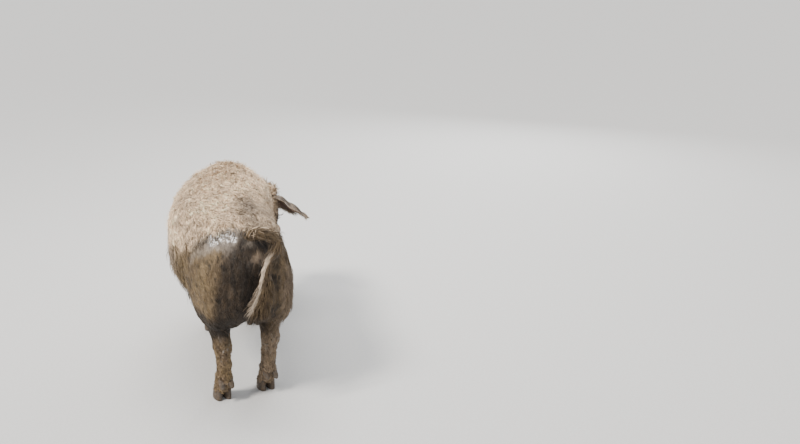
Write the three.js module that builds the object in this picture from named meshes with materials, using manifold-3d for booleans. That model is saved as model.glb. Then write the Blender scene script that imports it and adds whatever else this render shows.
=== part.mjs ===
// A woolly Mangalica sow, life size, standing with her head low and turned to her right.
// Millimetres, +Z up, feet on z = 0. She is shaped straight, facing +X with +Y on her left,
// and every point is then bent in plan, so that the hips point left and the head points right.
// The forms are signed distances that blend into each other. Lofts are laid on their surface and
// joined with clumps of wool, and the whole is parted into nodes by thin flat cuts.
import * as THREE from "three";
import { mergeVertices } from "three/addons/utils/BufferGeometryUtils.js";
import Module from "manifold-3d";

const wasm = await Module();
wasm.setup();

const V = (x, y, z) => new THREE.Vector3(x, y, z);
const rad = THREE.MathUtils.degToRad;
const clamp = THREE.MathUtils.clamp;
const smooth = THREE.MathUtils.smoothstep;

// ---------------------------------------------------------------- driving dimensions

const GAP = 0.3; // what every parting cut leaves between two nodes
const FAR = 3000; // larger than the animal
const BACK = 752; // top of the body under the wool
const BELLY = 312; // underside of the barrel
const HALF_WIDTH = 200; // of the barrel
const RUMP_END = -583; // hindmost point of the rump
const STANCE = 91; // each foot's distance from the middle plane
const LEG_TOP = 274; // height at which each leg is parted from the body
const HIND = -405; // where the hind legs leave the hams
const FORE = 300; // where the fore legs leave the shoulders
const HEAD = { x: 640, z: 474, pitch: 42 }; // middle of the skull, and how far the face points down
const SNOUT = 252; // from the middle of the skull to the front of the snout disc
const TURN = { hips: 15, shoulders: -9, head: -31 }; // degrees in plan, left is positive
const BEND = { hips: -330, shoulders: 60, neck: 280, poll: 530 }; // x of each change of heading
const EYE = { u: 66, w: 24, radius: 12.5, sunk: 11.5, forward: 0.5 };
const WOOL = { length: 150, width: 132, thick: 34 }; // one clump
const SPACING = { first: 60, along: 112, around: 124, end: 330 }; // of the clumps

// ---------------------------------------------------------------- signed-distance forms

// An ellipsoid, made squarer in all its sections by a power above 2.
function rounded(centre, radii, power = 2) {
  return (p) => {
    const q = p.clone().sub(centre).divide(radii).toArray().map(Math.abs);
    const size = q.reduce((sum, value) => sum + value ** power, 0) ** (1 / power);
    if (size < 1e-6) return -radii.y;
    const slope = V(...q.map((value) => (value / size) ** (power - 1))).divide(radii).length();
    return (size - 1) / slope;
  };
}

// A round bar from a to b whose radius runs from ra to rb; flat squeezes it sideways.
function limb(a, b, ra, rb, flat = 1) {
  const squeeze = V(1, flat, 1);
  const axis = b.clone().sub(a).divide(squeeze);
  return (p) => {
    const q = p.clone().sub(a).divide(squeeze);
    const share = clamp(q.dot(axis) / axis.lengthSq(), 0, 1);
    return (q.addScaledVector(axis, -share).length() - ra - (rb - ra) * share) * Math.min(1, flat);
  };
}

function blend(a, b, k) {
  const near = Math.max(k - Math.abs(a - b), 0) / k;
  return Math.min(a, b) - (near * near * k) / 4;
}

const blended = (k, forms) => (p) => forms.reduce((d, form) => blend(d, form(p), k), FAR);

const bothSides = (form) => (p) => form(V(p.x, Math.abs(p.y), p.z));

// A bar through several joints, each { x, y, z, r }.
function chain(joints, flat) {
  const bars = joints.slice(1).map((b, i) => {
    const a = joints[i];
    return limb(V(a.x, a.y, a.z), V(b.x, b.y, b.z), a.r, b.r, flat);
  });
  return blended(14, bars);
}

// ---------------------------------------------------------------- the head's own frame

const PITCH = rad(HEAD.pitch);
const FACE = V(Math.cos(PITCH), 0, -Math.sin(PITCH)); // along the face, towards the snout
const CROWN = V(Math.sin(PITCH), 0, Math.cos(PITCH)); // out of the forehead
const SIDE = V(0, 1, 0);
const SKULL = V(HEAD.x, 0, HEAD.z);

const onHead = (u, v, w) =>
  SKULL.clone().addScaledVector(FACE, u).addScaledVector(CROWN, w).add(V(0, v, 0));

const headForm = (form) => (p) => {
  const d = p.clone().sub(SKULL);
  return form(V(d.dot(FACE), p.y, d.dot(CROWN)));
};

function snoutDisc(p) {
  const radius = { v: 51, w: 41 };
  const half = 9;
  const round = 6;
  const across = (Math.hypot(p.y / radius.v, (p.z + 10) / radius.w) - 1) * radius.w + round;
  const along = Math.abs(p.x - SNOUT + half) - half + round;
  return Math.min(Math.max(across, along), 0) + Math.hypot(Math.max(across, 0), Math.max(along, 0)) - round;
}

const headForms = blended(24, [
  rounded(V(-14, 0, 12), V(108, 92, 84)), // cranium
  rounded(V(42, 0, 42), V(70, 70, 36)), // brow
  bothSides(rounded(V(-14, 62, -66), V(112, 66, 98))), // cheek and jowl
  limb(V(52, 0, -12), V(222, 0, -14), 66, 37, 1.18), // muzzle
  limb(V(60, 0, 24), V(230, 0, 4), 38, 21, 1.2), // bridge of the nose
  limb(V(14, 0, -88), V(194, 0, -60), 66, 29, 1), // lower jaw
  bothSides(limb(V(104, 40, -40), V(212, 33, -34), 30, 19)), // upper lip
  bothSides(rounded(V(64, 62, 27), V(32, 21, 25))), // rim of the eye
]);
const head = headForm((p) => blend(Math.max(headForms(p), p.x - SNOUT + 10), snoutDisc(p), 9));

// ---------------------------------------------------------------- trunk and legs

const trunk = blended(46, [
  rounded(V(-30, 0, BACK - 198), V(470, HALF_WIDTH, 198), 2.8), // barrel
  rounded(V(-20, 0, BELLY + 178), V(400, HALF_WIDTH - 18, 178)), // belly
  rounded(V(RUMP_END + 208, 0, 552), V(208, 172, 192)), // rump
  bothSides(rounded(V(HIND, 90, 467), V(150, 89, 156), 3)), // hams
  rounded(V(HIND - 56, 0, 434), V(112, 112, 74), 3), // muddy hair that closes the gap between them
  rounded(V(255, 0, 546), V(200, 186, 200)), // withers and chest
  bothSides(rounded(V(FORE - 8, 104, 470), V(118, 80, 158))), // shoulders
  rounded(V(FORE + 96, 0, 446), V(136, 116, 122)), // breast
  limb(V(330, 0, 565), V(590, 0, 480), 180, 134, 0.88), // neck
]);

const hindJoints = (step) => [
  { x: HIND + 22, y: 104, z: 470, r: 68 }, // inside the ham
  { x: HIND + 10, y: 102, z: 384, r: 66 }, // stifle
  { x: HIND - 22, y: 100, z: 312, r: 44 }, // gaskin
  { x: HIND - 42 + step * 0.4, y: 97, z: 240, r: 35 }, // hock
  { x: HIND - 34 + step * 0.7, y: STANCE, z: 158, r: 28 }, // cannon
  { x: HIND - 24 + step, y: STANCE, z: 100, r: 30 }, // fetlock
  { x: HIND + 2 + step, y: STANCE, z: 50, r: 30 }, // coronet
];

const foreJoints = (step) => [
  { x: FORE, y: 102, z: 460, r: 60 }, // inside the shoulder
  { x: FORE - 6, y: 108, z: 362, r: 54 }, // elbow
  { x: FORE + step * 0.4, y: 104, z: 212, r: 36 }, // knee
  { x: FORE - 6 + step * 0.7, y: STANCE, z: 150, r: 28 }, // cannon
  { x: FORE - 2 + step, y: STANCE, z: 100, r: 30 }, // fetlock
  { x: FORE + 20 + step, y: STANCE, z: 50, r: 30 }, // coronet
];

// The chain of a leg with its two digits, and the point of the hock on a hind leg.
function legForm(joints, hasHock) {
  const fetlock = joints.at(-2);
  const coronet = joints.at(-1);
  const digit = (side) =>
    limb(
      V(fetlock.x + 4, fetlock.y + side * 11, 82),
      V(coronet.x + 6, coronet.y + side * 17, 34),
      18,
      18,
    );
  const forms = [chain(joints, 0.92), digit(1), digit(-1)];
  if (hasHock) {
    forms.push(limb(V(HIND - 50, 98, 244), V(HIND - 78, 98, 272), 26, 16)); // point of the hock
    forms.push(limb(V(HIND - 78, 98, 272), V(HIND - 56, 99, 350), 15, 26)); // tendon above it
  }
  return blended(12, forms);
}

const body = (p) => blend(trunk(p), head(p), 46);

// How woolly the body is at p: wet mud has plastered the hams, and the face is short-haired.
function woolAt(p) {
  const mudLine = 640 - 0.9 * clamp(p.x + 520, 0, 270);
  const plastered = smooth(-p.x, 190, 330) * smooth(mudLine - p.z, -70, 70);
  const face = smooth(p.clone().sub(SKULL).dot(FACE), -120, 10);
  return (1 - plastered) * (1 - face);
}

// ---------------------------------------------------------------- bending in plan

function heading(x) {
  const shoulders = TURN.hips + (TURN.shoulders - TURN.hips) * smooth(x, BEND.hips, BEND.shoulders);
  return rad(shoulders + (TURN.head - TURN.shoulders) * smooth(x, BEND.neck, BEND.poll));
}

const SPINE_STEP = 5;
const SPINE_START = -800;
const spine = [V(SPINE_START, 0, 0)];
while (spine.length * SPINE_STEP < 2000) {
  const angle = heading(SPINE_START + (spine.length - 0.5) * SPINE_STEP);
  const step = V(Math.cos(angle), Math.sin(angle), 0).multiplyScalar(SPINE_STEP);
  spine.push(spine.at(-1).clone().add(step));
}

function bent(p) {
  const place = (p.x - SPINE_START) / SPINE_STEP;
  const before = Math.floor(place);
  const on = spine[before].clone().lerp(spine[before + 1], place - before);
  const angle = heading(p.x);
  return V(on.x - p.y * Math.sin(angle), on.y + p.y * Math.cos(angle), p.z);
}

// A direction at p, bent as the body is there.
const bentWay = (p, way) => bent(p.clone().add(way)).sub(bent(p)).normalize();

// ---------------------------------------------------------------- meshes and solids

// Triangles over loops of equal count, closed by a fan at each end.
function loft(loops, startPole, endPole) {
  const count = loops[0].length;
  const points = loops.flat().concat([startPole, endPole]);
  const start = points.length - 2;
  const last = (loops.length - 1) * count;
  const faces = [];
  for (let i = 0; i < count; i++) {
    const j = (i + 1) % count;
    faces.push(start, j, i, start + 1, last + i, last + j);
    for (let row = 0; row < last; row += count) {
      const [a, b, c, d] = [row + i, row + j, row + count + j, row + count + i];
      const split = points[a].distanceTo(points[c]) < points[b].distanceTo(points[d]);
      faces.push(...(split ? [a, b, c, a, c, d] : [a, b, d, b, c, d]));
    }
  }
  return solid(points, faces);
}

function solid(points, faces) {
  const vertProperties = new Float32Array(points.flatMap((p) => [p.x, p.y, p.z]));
  const make = (order) => {
    const triVerts = new Uint32Array(faces);
    if (order < 0) triVerts.reverse();
    return new wasm.Manifold(new wasm.Mesh({ numProp: 3, vertProperties, triVerts }));
  };
  const made = make(1);
  return made.volume() < 0 ? make(-1) : made;
}

function solidOf(geometry) {
  const bare = geometry.clone();
  bare.deleteAttribute("normal");
  bare.deleteAttribute("uv");
  const merged = mergeVertices(bare, 1e-3);
  const at = merged.attributes.position;
  const points = Array.from({ length: at.count }, (_, i) => V().fromBufferAttribute(at, i));
  return solid(points, merged.index.array);
}

const centroid = (loop) => loop.reduce((sum, p) => sum.add(p), V(0, 0, 0)).divideScalar(loop.length);

// Everything on the side of a plane that its normal points to, starting half a gap away.
function beyond(point, normal) {
  const box = new THREE.BoxGeometry(FAR, FAR, FAR);
  box.translate(0, 0, FAR / 2 + GAP / 2);
  const turn = new THREE.Quaternion().setFromUnitVectors(V(0, 0, 1), normal.clone().normalize());
  box.applyQuaternion(turn).translate(point.x, point.y, point.z);
  return solidOf(box);
}

const largest = (made) => made.decompose().sort((a, b) => b.volume() - a.volume())[0];
const union = (first, others) => others.reduce((sum, piece) => sum.add(piece), first);

function parted(made, { point, normal }) {
  return [made.intersect(beyond(point, normal)), made.intersect(beyond(point, normal.clone().negate()))];
}

// Joins the root of a piece to its carrier and returns both sides of the cut at a plane.
function grown(carrier, piece, plane) {
  const [free, root] = parted(piece, plane);
  return [carrier.add(root), largest(free)];
}

// ---------------------------------------------------------------- lofts on a form

// How far a ray from inside a form runs before it leaves it.
function reach(form, from, way, most = 420) {
  const step = 4;
  let low = 0;
  while (low < most && form(from.clone().addScaledVector(way, low + step)) < 0) low += step;
  let high = low + step;
  for (let i = 0; i < 12; i++) {
    const middle = (low + high) / 2;
    if (form(from.clone().addScaledVector(way, middle)) < 0) low = middle;
    else high = middle;
  }
  return low;
}

function ringOn(form, centre, up, count) {
  return Array.from({ length: count }, (_, i) => {
    const angle = (i * 2 * Math.PI) / count;
    const way = up.clone().multiplyScalar(Math.cos(angle)).addScaledVector(SIDE, Math.sin(angle));
    return centre.clone().addScaledVector(way, reach(form, centre, way));
  });
}

function normalOn(form, p) {
  const e = 1.5;
  const slope = (way) => form(p.clone().addScaledVector(way, e)) - form(p.clone().addScaledVector(way, -e));
  return V(slope(V(1, 0, 0)), slope(V(0, 1, 0)), slope(V(0, 0, 1))).normalize();
}

function settle(form, p, height = 0) {
  const on = p.clone();
  for (let i = 0; i < 3; i++) on.addScaledVector(normalOn(form, on), -form(on));
  return on.addScaledVector(normalOn(form, on), height);
}

const AXIS = new THREE.CatmullRomCurve3([
  V(RUMP_END + 22, 0, 560),
  V(-430, 0, 555),
  V(-150, 0, 545),
  V(150, 0, 545),
  V(360, 0, 532),
  V(510, 0, 506),
  onHead(-40, 0, -14),
  onHead(60, 0, -18),
  onHead(160, 0, -14),
  onHead(SNOUT - 6, 0, -10),
], false, "centripetal");
const AXIS_LENGTH = AXIS.getLength();

function station(distance) {
  const share = distance / AXIS_LENGTH;
  const along = AXIS.getTangentAt(share);
  return { centre: AXIS.getPointAt(share), along, up: V(-along.z, 0, along.x) };
}

const RINGS = {
  rump: [0, 7, 20, 42, 75, 118, 170],
  barrel: Array.from({ length: 8 }, (_, i) => 232 + i * 72),
  neck: [792, 838, 880, 918, 952],
  beforeSnout: [308, 284, 260, 236, 212, 190, 168, 146, 124, 102, 80, 60, 42, 28, 20, 14, 8, 3, 0],
};

function bodyLoft() {
  const segments = 34;
  const snout = RINGS.beforeSnout.map((distance) => AXIS_LENGTH - distance);
  const rings = [...RINGS.rump, ...RINGS.barrel, ...RINGS.neck, ...snout].map((d) => {
    const { centre, up } = station(d);
    return ringOn(body, centre, up, segments).map(bent);
  });
  const pole = (distance, sign) => {
    const { centre, along } = station(distance);
    const way = along.clone().multiplyScalar(sign);
    return bent(centre.clone().addScaledVector(way, reach(body, centre, way)));
  };
  return loft(rings, pole(0, -1), pole(AXIS_LENGTH, 1));
}

// ---------------------------------------------------------------- tufts

let seed = 20;
function random() {
  seed = (seed * 1103515245 + 12345) % 2147483648;
  return seed / 2147483648;
}
const vary = (size, share) => size * (1 + share * (2 * random() - 1));

// A clump or lock along a path: outs are the ways its flat face looks, and plump is its share of
// the full width and thickness at each point before the tip.
function tuft(path, outs, width, thick, plump, sides) {
  const last = path.length - 1;
  const loops = path.slice(0, last).map((centre, i) => {
    const along = path[i + 1].clone().sub(path[Math.max(i - 1, 0)]).normalize();
    const across = along.clone().cross(outs[i]).normalize();
    const face = across.clone().cross(along).normalize();
    return Array.from({ length: sides }, (_, n) => {
      const angle = (n * 2 * Math.PI) / sides + Math.PI / 2;
      return centre
        .clone()
        .addScaledVector(across, (Math.cos(angle) * width * plump[i]) / 2)
        .addScaledVector(face, (Math.sin(angle) * thick * plump[i]) / 2);
    });
  });
  return loft(loops.map((loop) => loop.map(bent)), bent(centroid(loops[0])), bent(path[last]));
}

// ---------------------------------------------------------------- legs and feet

const LEG_HEIGHTS = [430, 395, 362, 334, 308, 284, 262, 240, 214, 172, 132, 108, 92, 76, 60, 44, 28];

const onSide = (side) => (p) => bent(V(p.x, p.y * side, p.z));

function legLoft(joints, form, side) {
  const at = onSide(side);
  const middleAt = (z) => {
    const upper = joints.findLast((joint) => joint.z > z) ?? joints[0];
    const lower = joints.find((joint) => joint.z <= z) ?? joints.at(-1);
    const share = upper === lower ? 0 : (upper.z - z) / (upper.z - lower.z);
    return V(upper.x + (lower.x - upper.x) * share, upper.y + (lower.y - upper.y) * share, z);
  };
  const rings = LEG_HEIGHTS.map((z) => ringOn(form, middleAt(z), V(1, 0, 0), 12).map(at));
  return loft(rings, at(middleAt(LEG_HEIGHTS[0])), at(middleAt(LEG_HEIGHTS.at(-1))));
}

// One claw of a cloven foot, flat on the floor and pointed in front.
function clawLoft(x, y, side) {
  const at = onSide(side);
  const outline = (z, length, width, shift) =>
    Array.from({ length: 10 }, (_, i) => {
      const angle = (i * 2 * Math.PI) / 10;
      const narrow = 1 - 0.45 * Math.max(Math.cos(angle), 0) ** 2;
      return at(V(x + shift + Math.cos(angle) * length, y + Math.sin(angle) * width * narrow, z));
    });
  const loops = [
    outline(0, 37, 15, 6),
    outline(5, 39, 16.5, 6),
    outline(32, 34, 16, 1),
    outline(70, 27, 14, -6),
  ];
  return loft(loops, centroid(loops[0]), centroid(loops.at(-1)));
}

function dewclawLoft(from, to, side) {
  const at = onSide(side);
  const along = to.clone().sub(from).normalize();
  const up = V(-along.z, 0, along.x);
  const loop = (share, radius) =>
    Array.from({ length: 6 }, (_, i) => {
      const angle = (i * 2 * Math.PI) / 6;
      const p = from.clone().lerp(to, share);
      p.addScaledVector(up, Math.cos(angle) * radius * 0.85);
      return at(p.addScaledVector(SIDE, Math.sin(angle) * radius));
    });
  const loops = [loop(0, 13), loop(0.6, 13), loop(1, 6)];
  return loft(loops, centroid(loops[0]), centroid(loops.at(-1)));
}

function legAndFoot({ name, joints, hasHock, side }) {
  const at = onSide(side);
  const fetlock = joints.at(-2);
  const coronet = joints.at(-1);
  const forward = V(Math.cos(heading(coronet.x)), Math.sin(heading(coronet.x)), 0);
  const crown = {
    point: at(V(coronet.x, coronet.y, 42)),
    normal: V(0, 0, 1).addScaledVector(forward, -0.34).normalize(), // high in front, low at the heel
  };
  let [leg] = parted(legLoft(joints, legForm(joints, hasHock), side), crown);
  const made = {};
  for (const [label, way] of [["inner", -1], ["outer", 1]]) {
    const claw = clawLoft(coronet.x + 6, coronet.y + way * 18, side);
    made[`claw_${name}_${label}`] = largest(parted(claw, crown)[1]);
    const from = V(fetlock.x - 12, fetlock.y + way * 15, 100);
    const to = V(fetlock.x - 44, fetlock.y + way * 19, 67);
    const plane = { point: at(from.clone().lerp(to, 0.6)), normal: at(to).sub(at(from)).normalize() };
    [leg, made[`dewclaw_${name}_${label}`]] = grown(leg, dewclawLoft(from, to, side), plane);
  }
  return [leg, made];
}

// ---------------------------------------------------------------- eyes, snout and mouth

function ball(centre, radius, around, down) {
  return solidOf(new THREE.SphereGeometry(radius, around, down).translate(centre.x, centre.y, centre.z));
}

// A geometry turned so that its x, y and z run along the three ways of a frame at a point.
function turned(geometry, frame, centre) {
  geometry.applyMatrix4(new THREE.Matrix4().makeBasis(...frame)).translate(centre.x, centre.y, centre.z);
  return solidOf(geometry);
}

function eyePlace(side) {
  const inside = onHead(EYE.u, 0, EYE.w);
  const way = SIDE.clone().addScaledVector(FACE, EYE.forward).addScaledVector(CROWN, 0.12).normalize();
  const centre = inside.clone().addScaledVector(way, reach(body, inside, way) - EYE.sunk);
  const mirror = V(1, side, 1);
  const at = centre.clone().multiply(mirror);
  return { centre: bent(at), out: bentWay(at, way.clone().multiply(mirror)), face: bentWay(at, FACE) };
}

// Lids close round the ball, and an almond opening shows it.
function withEye(skull, side) {
  const { centre, out, face } = eyePlace(side);
  const eye = ball(centre, EYE.radius, 12, 8);
  const socket = ball(centre, EYE.radius + 0.4, 12, 8);
  const lids = ball(centre, EYE.radius + 4, 12, 8);
  const almond = new THREE.Shape();
  almond.moveTo(-13, -1).quadraticCurveTo(0, 15, 13, 1).quadraticCurveTo(0, -12, -13, -1);
  const opening = new THREE.ExtrudeGeometry(almond, { depth: 40, bevelEnabled: false, curveSegments: 4 });
  const across = face.clone().addScaledVector(out, -face.dot(out)).normalize();
  const frame = [across, out.clone().cross(across), out];
  return [skull.add(lids).subtract(socket).subtract(turned(opening, frame, centre)), eye];
}

function nostril(side) {
  const hole = new THREE.SphereGeometry(1, 10, 6).scale(15, 10, 12.5).rotateX(side * 0.35);
  const at = onHead(SNOUT + 2, side * 19, -9);
  return turned(hole, [bentWay(at, FACE), bentWay(at, SIDE), bentWay(at, CROWN)], bent(at));
}

// The line of the closed mouth: a thin groove that follows the lips round the front.
function mouthGroove() {
  const half = { high: 2.2, deep: 8 };
  const height = (u) => -60 + (u - 108) * 0.22;
  const along = [108, 140, 172, 200].map((u) => ({ from: onHead(u, 0, height(u)), way: SIDE }));
  const round = [60, 30, 0].map((degrees) => ({
    from: onHead(197, 0, -40),
    way: FACE.clone().multiplyScalar(Math.cos(rad(degrees))).addScaledVector(SIDE, Math.sin(rad(degrees))),
  }));
  const left = [...along, ...round];
  const mirrored = ({ from, way }) => ({ from, way: way.clone().multiply(V(1, -1, 1)) });
  const loops = [...left, ...left.slice(0, -1).reverse().map(mirrored)].map(({ from, way }) => {
    const on = from.clone().addScaledVector(way, reach(body, from, way));
    const offset = (outward, upward) =>
      bent(on.clone().addScaledVector(way, outward).addScaledVector(CROWN, upward));
    return [offset(half.deep, 0), offset(0, half.high), offset(-half.deep, 0), offset(0, -half.high)];
  });
  return loft(loops, centroid(loops[0]), centroid(loops.at(-1)));
}

// ---------------------------------------------------------------- ears

const EAR = {
  spine: new THREE.QuadraticBezierCurve3(V(-46, 44, 54), V(-22, 166, 56), V(40, 268, -18)),
  cut: 0.4, // share of the spine that stays with the head
  across: V(0.98, 0, 0.05), // the way the ear is wide, in the head's frame
  widths: [36, 56, 88, 116, 128, 112, 72, 12],
  thick: { root: 8, tip: 3.5 },
  roll: { root: 190, tip: 50 }, // degrees that the section turns through
};

// A thin sheet between two like grids of points, with its rim closed.
function sheet(outer, inner) {
  const rows = outer.length;
  const columns = outer[0].length;
  const around = [
    ...Array.from({ length: columns - 1 }, (_, c) => [0, c]),
    ...Array.from({ length: rows - 1 }, (_, r) => [r, columns - 1]),
    ...Array.from({ length: columns - 1 }, (_, c) => [rows - 1, columns - 1 - c]),
    ...Array.from({ length: rows - 1 }, (_, r) => [rows - 1 - r, 0]),
  ];
  const at = (face, r, c) => face * rows * columns + r * columns + c;
  const faces = [];
  for (let r = 0; r < rows - 1; r++) {
    for (let c = 0; c < columns - 1; c++) {
      const cell = [[r, c], [r, c + 1], [r + 1, c + 1], [r + 1, c]];
      const corners = (face) => cell.map(([row, column]) => at(face, row, column));
      const [a, b, d, e] = corners(0);
      faces.push(a, d, b, a, e, d);
      const [f, g, h, i] = corners(1);
      faces.push(f, g, h, f, h, i);
    }
  }
  around.forEach(([r, c], i) => {
    const [nextR, nextC] = around[(i + 1) % around.length];
    const [near, far] = [at(0, r, c), at(1, nextR, nextC)];
    faces.push(near, at(0, nextR, nextC), far, near, far, at(1, r, c));
  });
  return solid([...outer.flat(), ...inner.flat()], faces);
}

// A lop ear: rolled at its root and opening into a cup that faces forwards and down.
function earLoft(side) {
  const columns = 6;
  const grid = (depth) =>
    EAR.widths.map((width, i) => {
      const share = i / (EAR.widths.length - 1);
      const centre = EAR.spine.getPoint(share);
      const along = EAR.spine.getTangent(share);
      const across = EAR.across.clone().addScaledVector(along, -along.dot(EAR.across)).normalize();
      const face = across.clone().cross(along).normalize();
      const roll = rad(EAR.roll.root + (EAR.roll.tip - EAR.roll.root) * Math.sqrt(share));
      const radius = width / roll;
      const thick = EAR.thick.root + (EAR.thick.tip - EAR.thick.root) * share;
      const r = radius - depth * Math.min(thick, radius * 0.6);
      return Array.from({ length: columns }, (_, c) => {
        const angle = (c / (columns - 1) - 0.5) * roll;
        const p = centre.clone().addScaledVector(across, Math.sin(angle) * r);
        p.addScaledVector(face, Math.cos(angle) * r - radius);
        return bent(onHead(p.x, p.y * side, p.z));
      });
    });
  return sheet(grid(0), grid(1));
}

function withEar(skull, side) {
  const at = (share) => {
    const p = EAR.spine.getPoint(share);
    return bent(onHead(p.x, p.y * side, p.z));
  };
  const normal = at(EAR.cut + 0.02).sub(at(EAR.cut)).normalize();
  return grown(skull, earLoft(side), { point: at(EAR.cut), normal });
}

// ---------------------------------------------------------------- tail

const TAIL = new THREE.CatmullRomCurve3([
  V(-470, 0, 668),
  V(-536, -4, 694),
  V(-582, -34, 704),
  V(-610, -66, 694),
  V(-624, -76, 668),
  V(-632, -60, 644),
  V(-636, -34, 614),
  V(-638, -13, 572),
  V(-638, -4, 530),
  V(-637, 8, 488),
  V(-634, 26, 448),
  V(-630, 46, 412),
]);
const TAIL_CUT = 0.26; // share of the curve that stays with the rump
const TAIL_CLEAR = [0.3, 0.4, 0.5, 0.6, 0.7].map((share) => TAIL.getPointAt(share)); // kept free of wool

function tailLoft() {
  const sides = 7;
  const rows = 12;
  const loops = Array.from({ length: rows }, (_, i) => {
    const share = (i / rows) * 0.95;
    const centre = TAIL.getPointAt(share);
    const along = TAIL.getTangentAt(share);
    const across = along.clone().cross(V(1, 0, 0.3)).normalize();
    const up = across.clone().cross(along);
    const radius = 19 - 11 * share;
    return Array.from({ length: sides }, (_, n) => {
      const angle = (n * 2 * Math.PI) / sides;
      const p = centre.clone().addScaledVector(up, Math.cos(angle) * radius);
      return bent(p.addScaledVector(across, Math.sin(angle) * radius));
    });
  });
  return loft(loops, bent(TAIL.getPointAt(0)), bent(TAIL.getPointAt(0.95)));
}

// The brush of muddy hair from half way down the tail to its tip.
function tailLocks() {
  const count = 10;
  return Array.from({ length: count }, (_, i) => {
    const share = 0.46 + (0.4 * i) / (count - 1);
    const angle = i * 2.4;
    const out = V(-Math.abs(Math.cos(angle)), Math.sin(angle), 0).normalize();
    const [root, middle, end] = [0, 0.12, 0.24].map((s) => TAIL.getPointAt(Math.min(share + s, 1)));
    const tip = end.clone().addScaledVector(out, 2).add(V(0, 4, -vary(26, 0.3)));
    const path = [root, middle.addScaledVector(out, 15), end.addScaledVector(out, 10), tip];
    return tuft(path, path.map(() => out), 34, 17, [0.6, 1, 0.8], 5);
  });
}

// ---------------------------------------------------------------- wool

// The way wool lies on skin that faces out: back along the body and down its sides.
function lie(out, swing) {
  const way = V(-1, swing, -0.35 - 0.5 * Math.abs(out.y));
  return way.addScaledVector(out, -way.dot(out)).normalize();
}

// Points spaced evenly round the body, in a ring across its axis.
function around(distance, apart, shift) {
  const { centre, up } = station(distance);
  const ring = new THREE.CatmullRomCurve3(ringOn(body, centre, up, 48), true);
  const count = Math.round(ring.getLength() / apart);
  return Array.from({ length: count }, (_, i) => ring.getPointAt((i + shift) / count));
}

function isBare(p, out) {
  const besideLeg = p.z < LEG_TOP + 76 && (Math.abs(p.x - FORE) < 90 || p.x < HIND + 150);
  const besideTail = TAIL_CLEAR.some((on) => on.distanceTo(p) < 76);
  return woolAt(p) < 0.4 || out.z < -0.75 || besideLeg || besideTail;
}

// A clump whose root is sunk in the skin at p and which follows the skin to its tip. Low on the
// flanks the clumps are longer, and their tips hang free.
function clump(p, out) {
  const hang = smooth(-out.z, 0.05, 0.5);
  const way = lie(out, vary(0.001, 300));
  const step = (vary(WOOL.length, 0.12) * (1 + 0.2 * hang)) / 3;
  const path = [settle(body, p.clone().addScaledVector(way, -step * 1.5), -12)];
  for (const height of [5, 8, 2 + 12 * hang]) {
    path.push(settle(body, path.at(-1).clone().addScaledVector(way, step), height));
  }
  const outs = path.map((on) => normalOn(body, on));
  return tuft(path, outs, vary(WOOL.width, 0.12), vary(WOOL.thick, 0.15), [0.62, 1, 0.8], 6);
}

function woolClumps() {
  const clumps = [];
  for (let row = 0; SPACING.first + row * SPACING.along < AXIS_LENGTH - SPACING.end; row++) {
    for (const place of around(SPACING.first + row * SPACING.along, SPACING.around, (row % 2) / 2)) {
      const p = settle(body, place);
      const out = normalOn(body, p);
      if (!isBare(p, out)) clumps.push(clump(p, out));
    }
  }
  return clumps;
}

// ---------------------------------------------------------------- the whole, parted into nodes

const upright = (x) => ({
  point: bent(V(x, 0, 0)),
  normal: V(Math.cos(heading(x)), Math.sin(heading(x)), 0),
});
const sloping = (p, way) => ({ point: bent(p), normal: bentWay(p, way) });
const CUTS = {
  haunch: upright(-235),
  shoulder: upright(165),
  neck: sloping(V(420, 0, 520), V(1, 0, -0.24)),
  nape: sloping(onHead(-104, 0, 0), V(0.9, 0, -0.42)),
  leg: { point: V(0, 0, LEG_TOP), normal: V(0, 0, 1) },
  tail: sloping(TAIL.getPointAt(TAIL_CUT), TAIL.getTangentAt(TAIL_CUT)),
};

const LEGS = [
  { name: "hind_left", joints: hindJoints(0), hasHock: true, side: 1 },
  { name: "hind_right", joints: hindJoints(6), hasHock: true, side: -1 },
  { name: "fore_left", joints: foreJoints(-34), hasHock: false, side: 1 },
  { name: "fore_right", joints: foreJoints(26), hasHock: false, side: -1 },
];

const nodes = {};
let whole = union(bodyLoft(), woolClumps());
for (const leg of LEGS) {
  const [limbAndThigh, claws] = legAndFoot(leg);
  const [thigh, shank] = parted(limbAndThigh, CUTS.leg);
  whole = whole.add(thigh);
  nodes[`leg_${leg.name}`] = shank;
  Object.assign(nodes, claws);
}

const [foreParts, haunches] = parted(whole, CUTS.haunch);
const [frontParts, barrel] = parted(foreParts, CUTS.shoulder);
const [neckAndHead, shoulders] = parted(frontParts, CUTS.neck);
const [headPart, neck] = parted(neckAndHead, CUTS.nape);

let skull = largest(headPart).subtract(mouthGroove());
for (const [label, side] of [["left", 1], ["right", -1]]) {
  skull = skull.subtract(nostril(side));
  [skull, nodes[`eye_${label}`]] = withEye(skull, side);
  [skull, nodes[`ear_${label}`]] = withEar(skull, side);
}
const [hindquarters, tail] = grown(haunches, union(tailLoft(), tailLocks()), CUTS.tail);
Object.assign(nodes, { head: skull, neck, shoulders, barrel, hindquarters, tail });

const MATERIALS = {
  coat: new THREE.MeshStandardMaterial({ color: 0xc0ae98, roughness: 0.95 }),
  mud: new THREE.MeshStandardMaterial({ color: 0x6a5844, roughness: 0.6 }),
  skin: new THREE.MeshStandardMaterial({ color: 0x8d8074, roughness: 0.8 }),
  ear: new THREE.MeshStandardMaterial({ color: 0x5a534c, roughness: 0.8 }),
  eye: new THREE.MeshStandardMaterial({ color: 0x1c1410, roughness: 0.1 }),
  claw: new THREE.MeshStandardMaterial({ color: 0x4a4036, roughness: 0.6 }),
};

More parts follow.
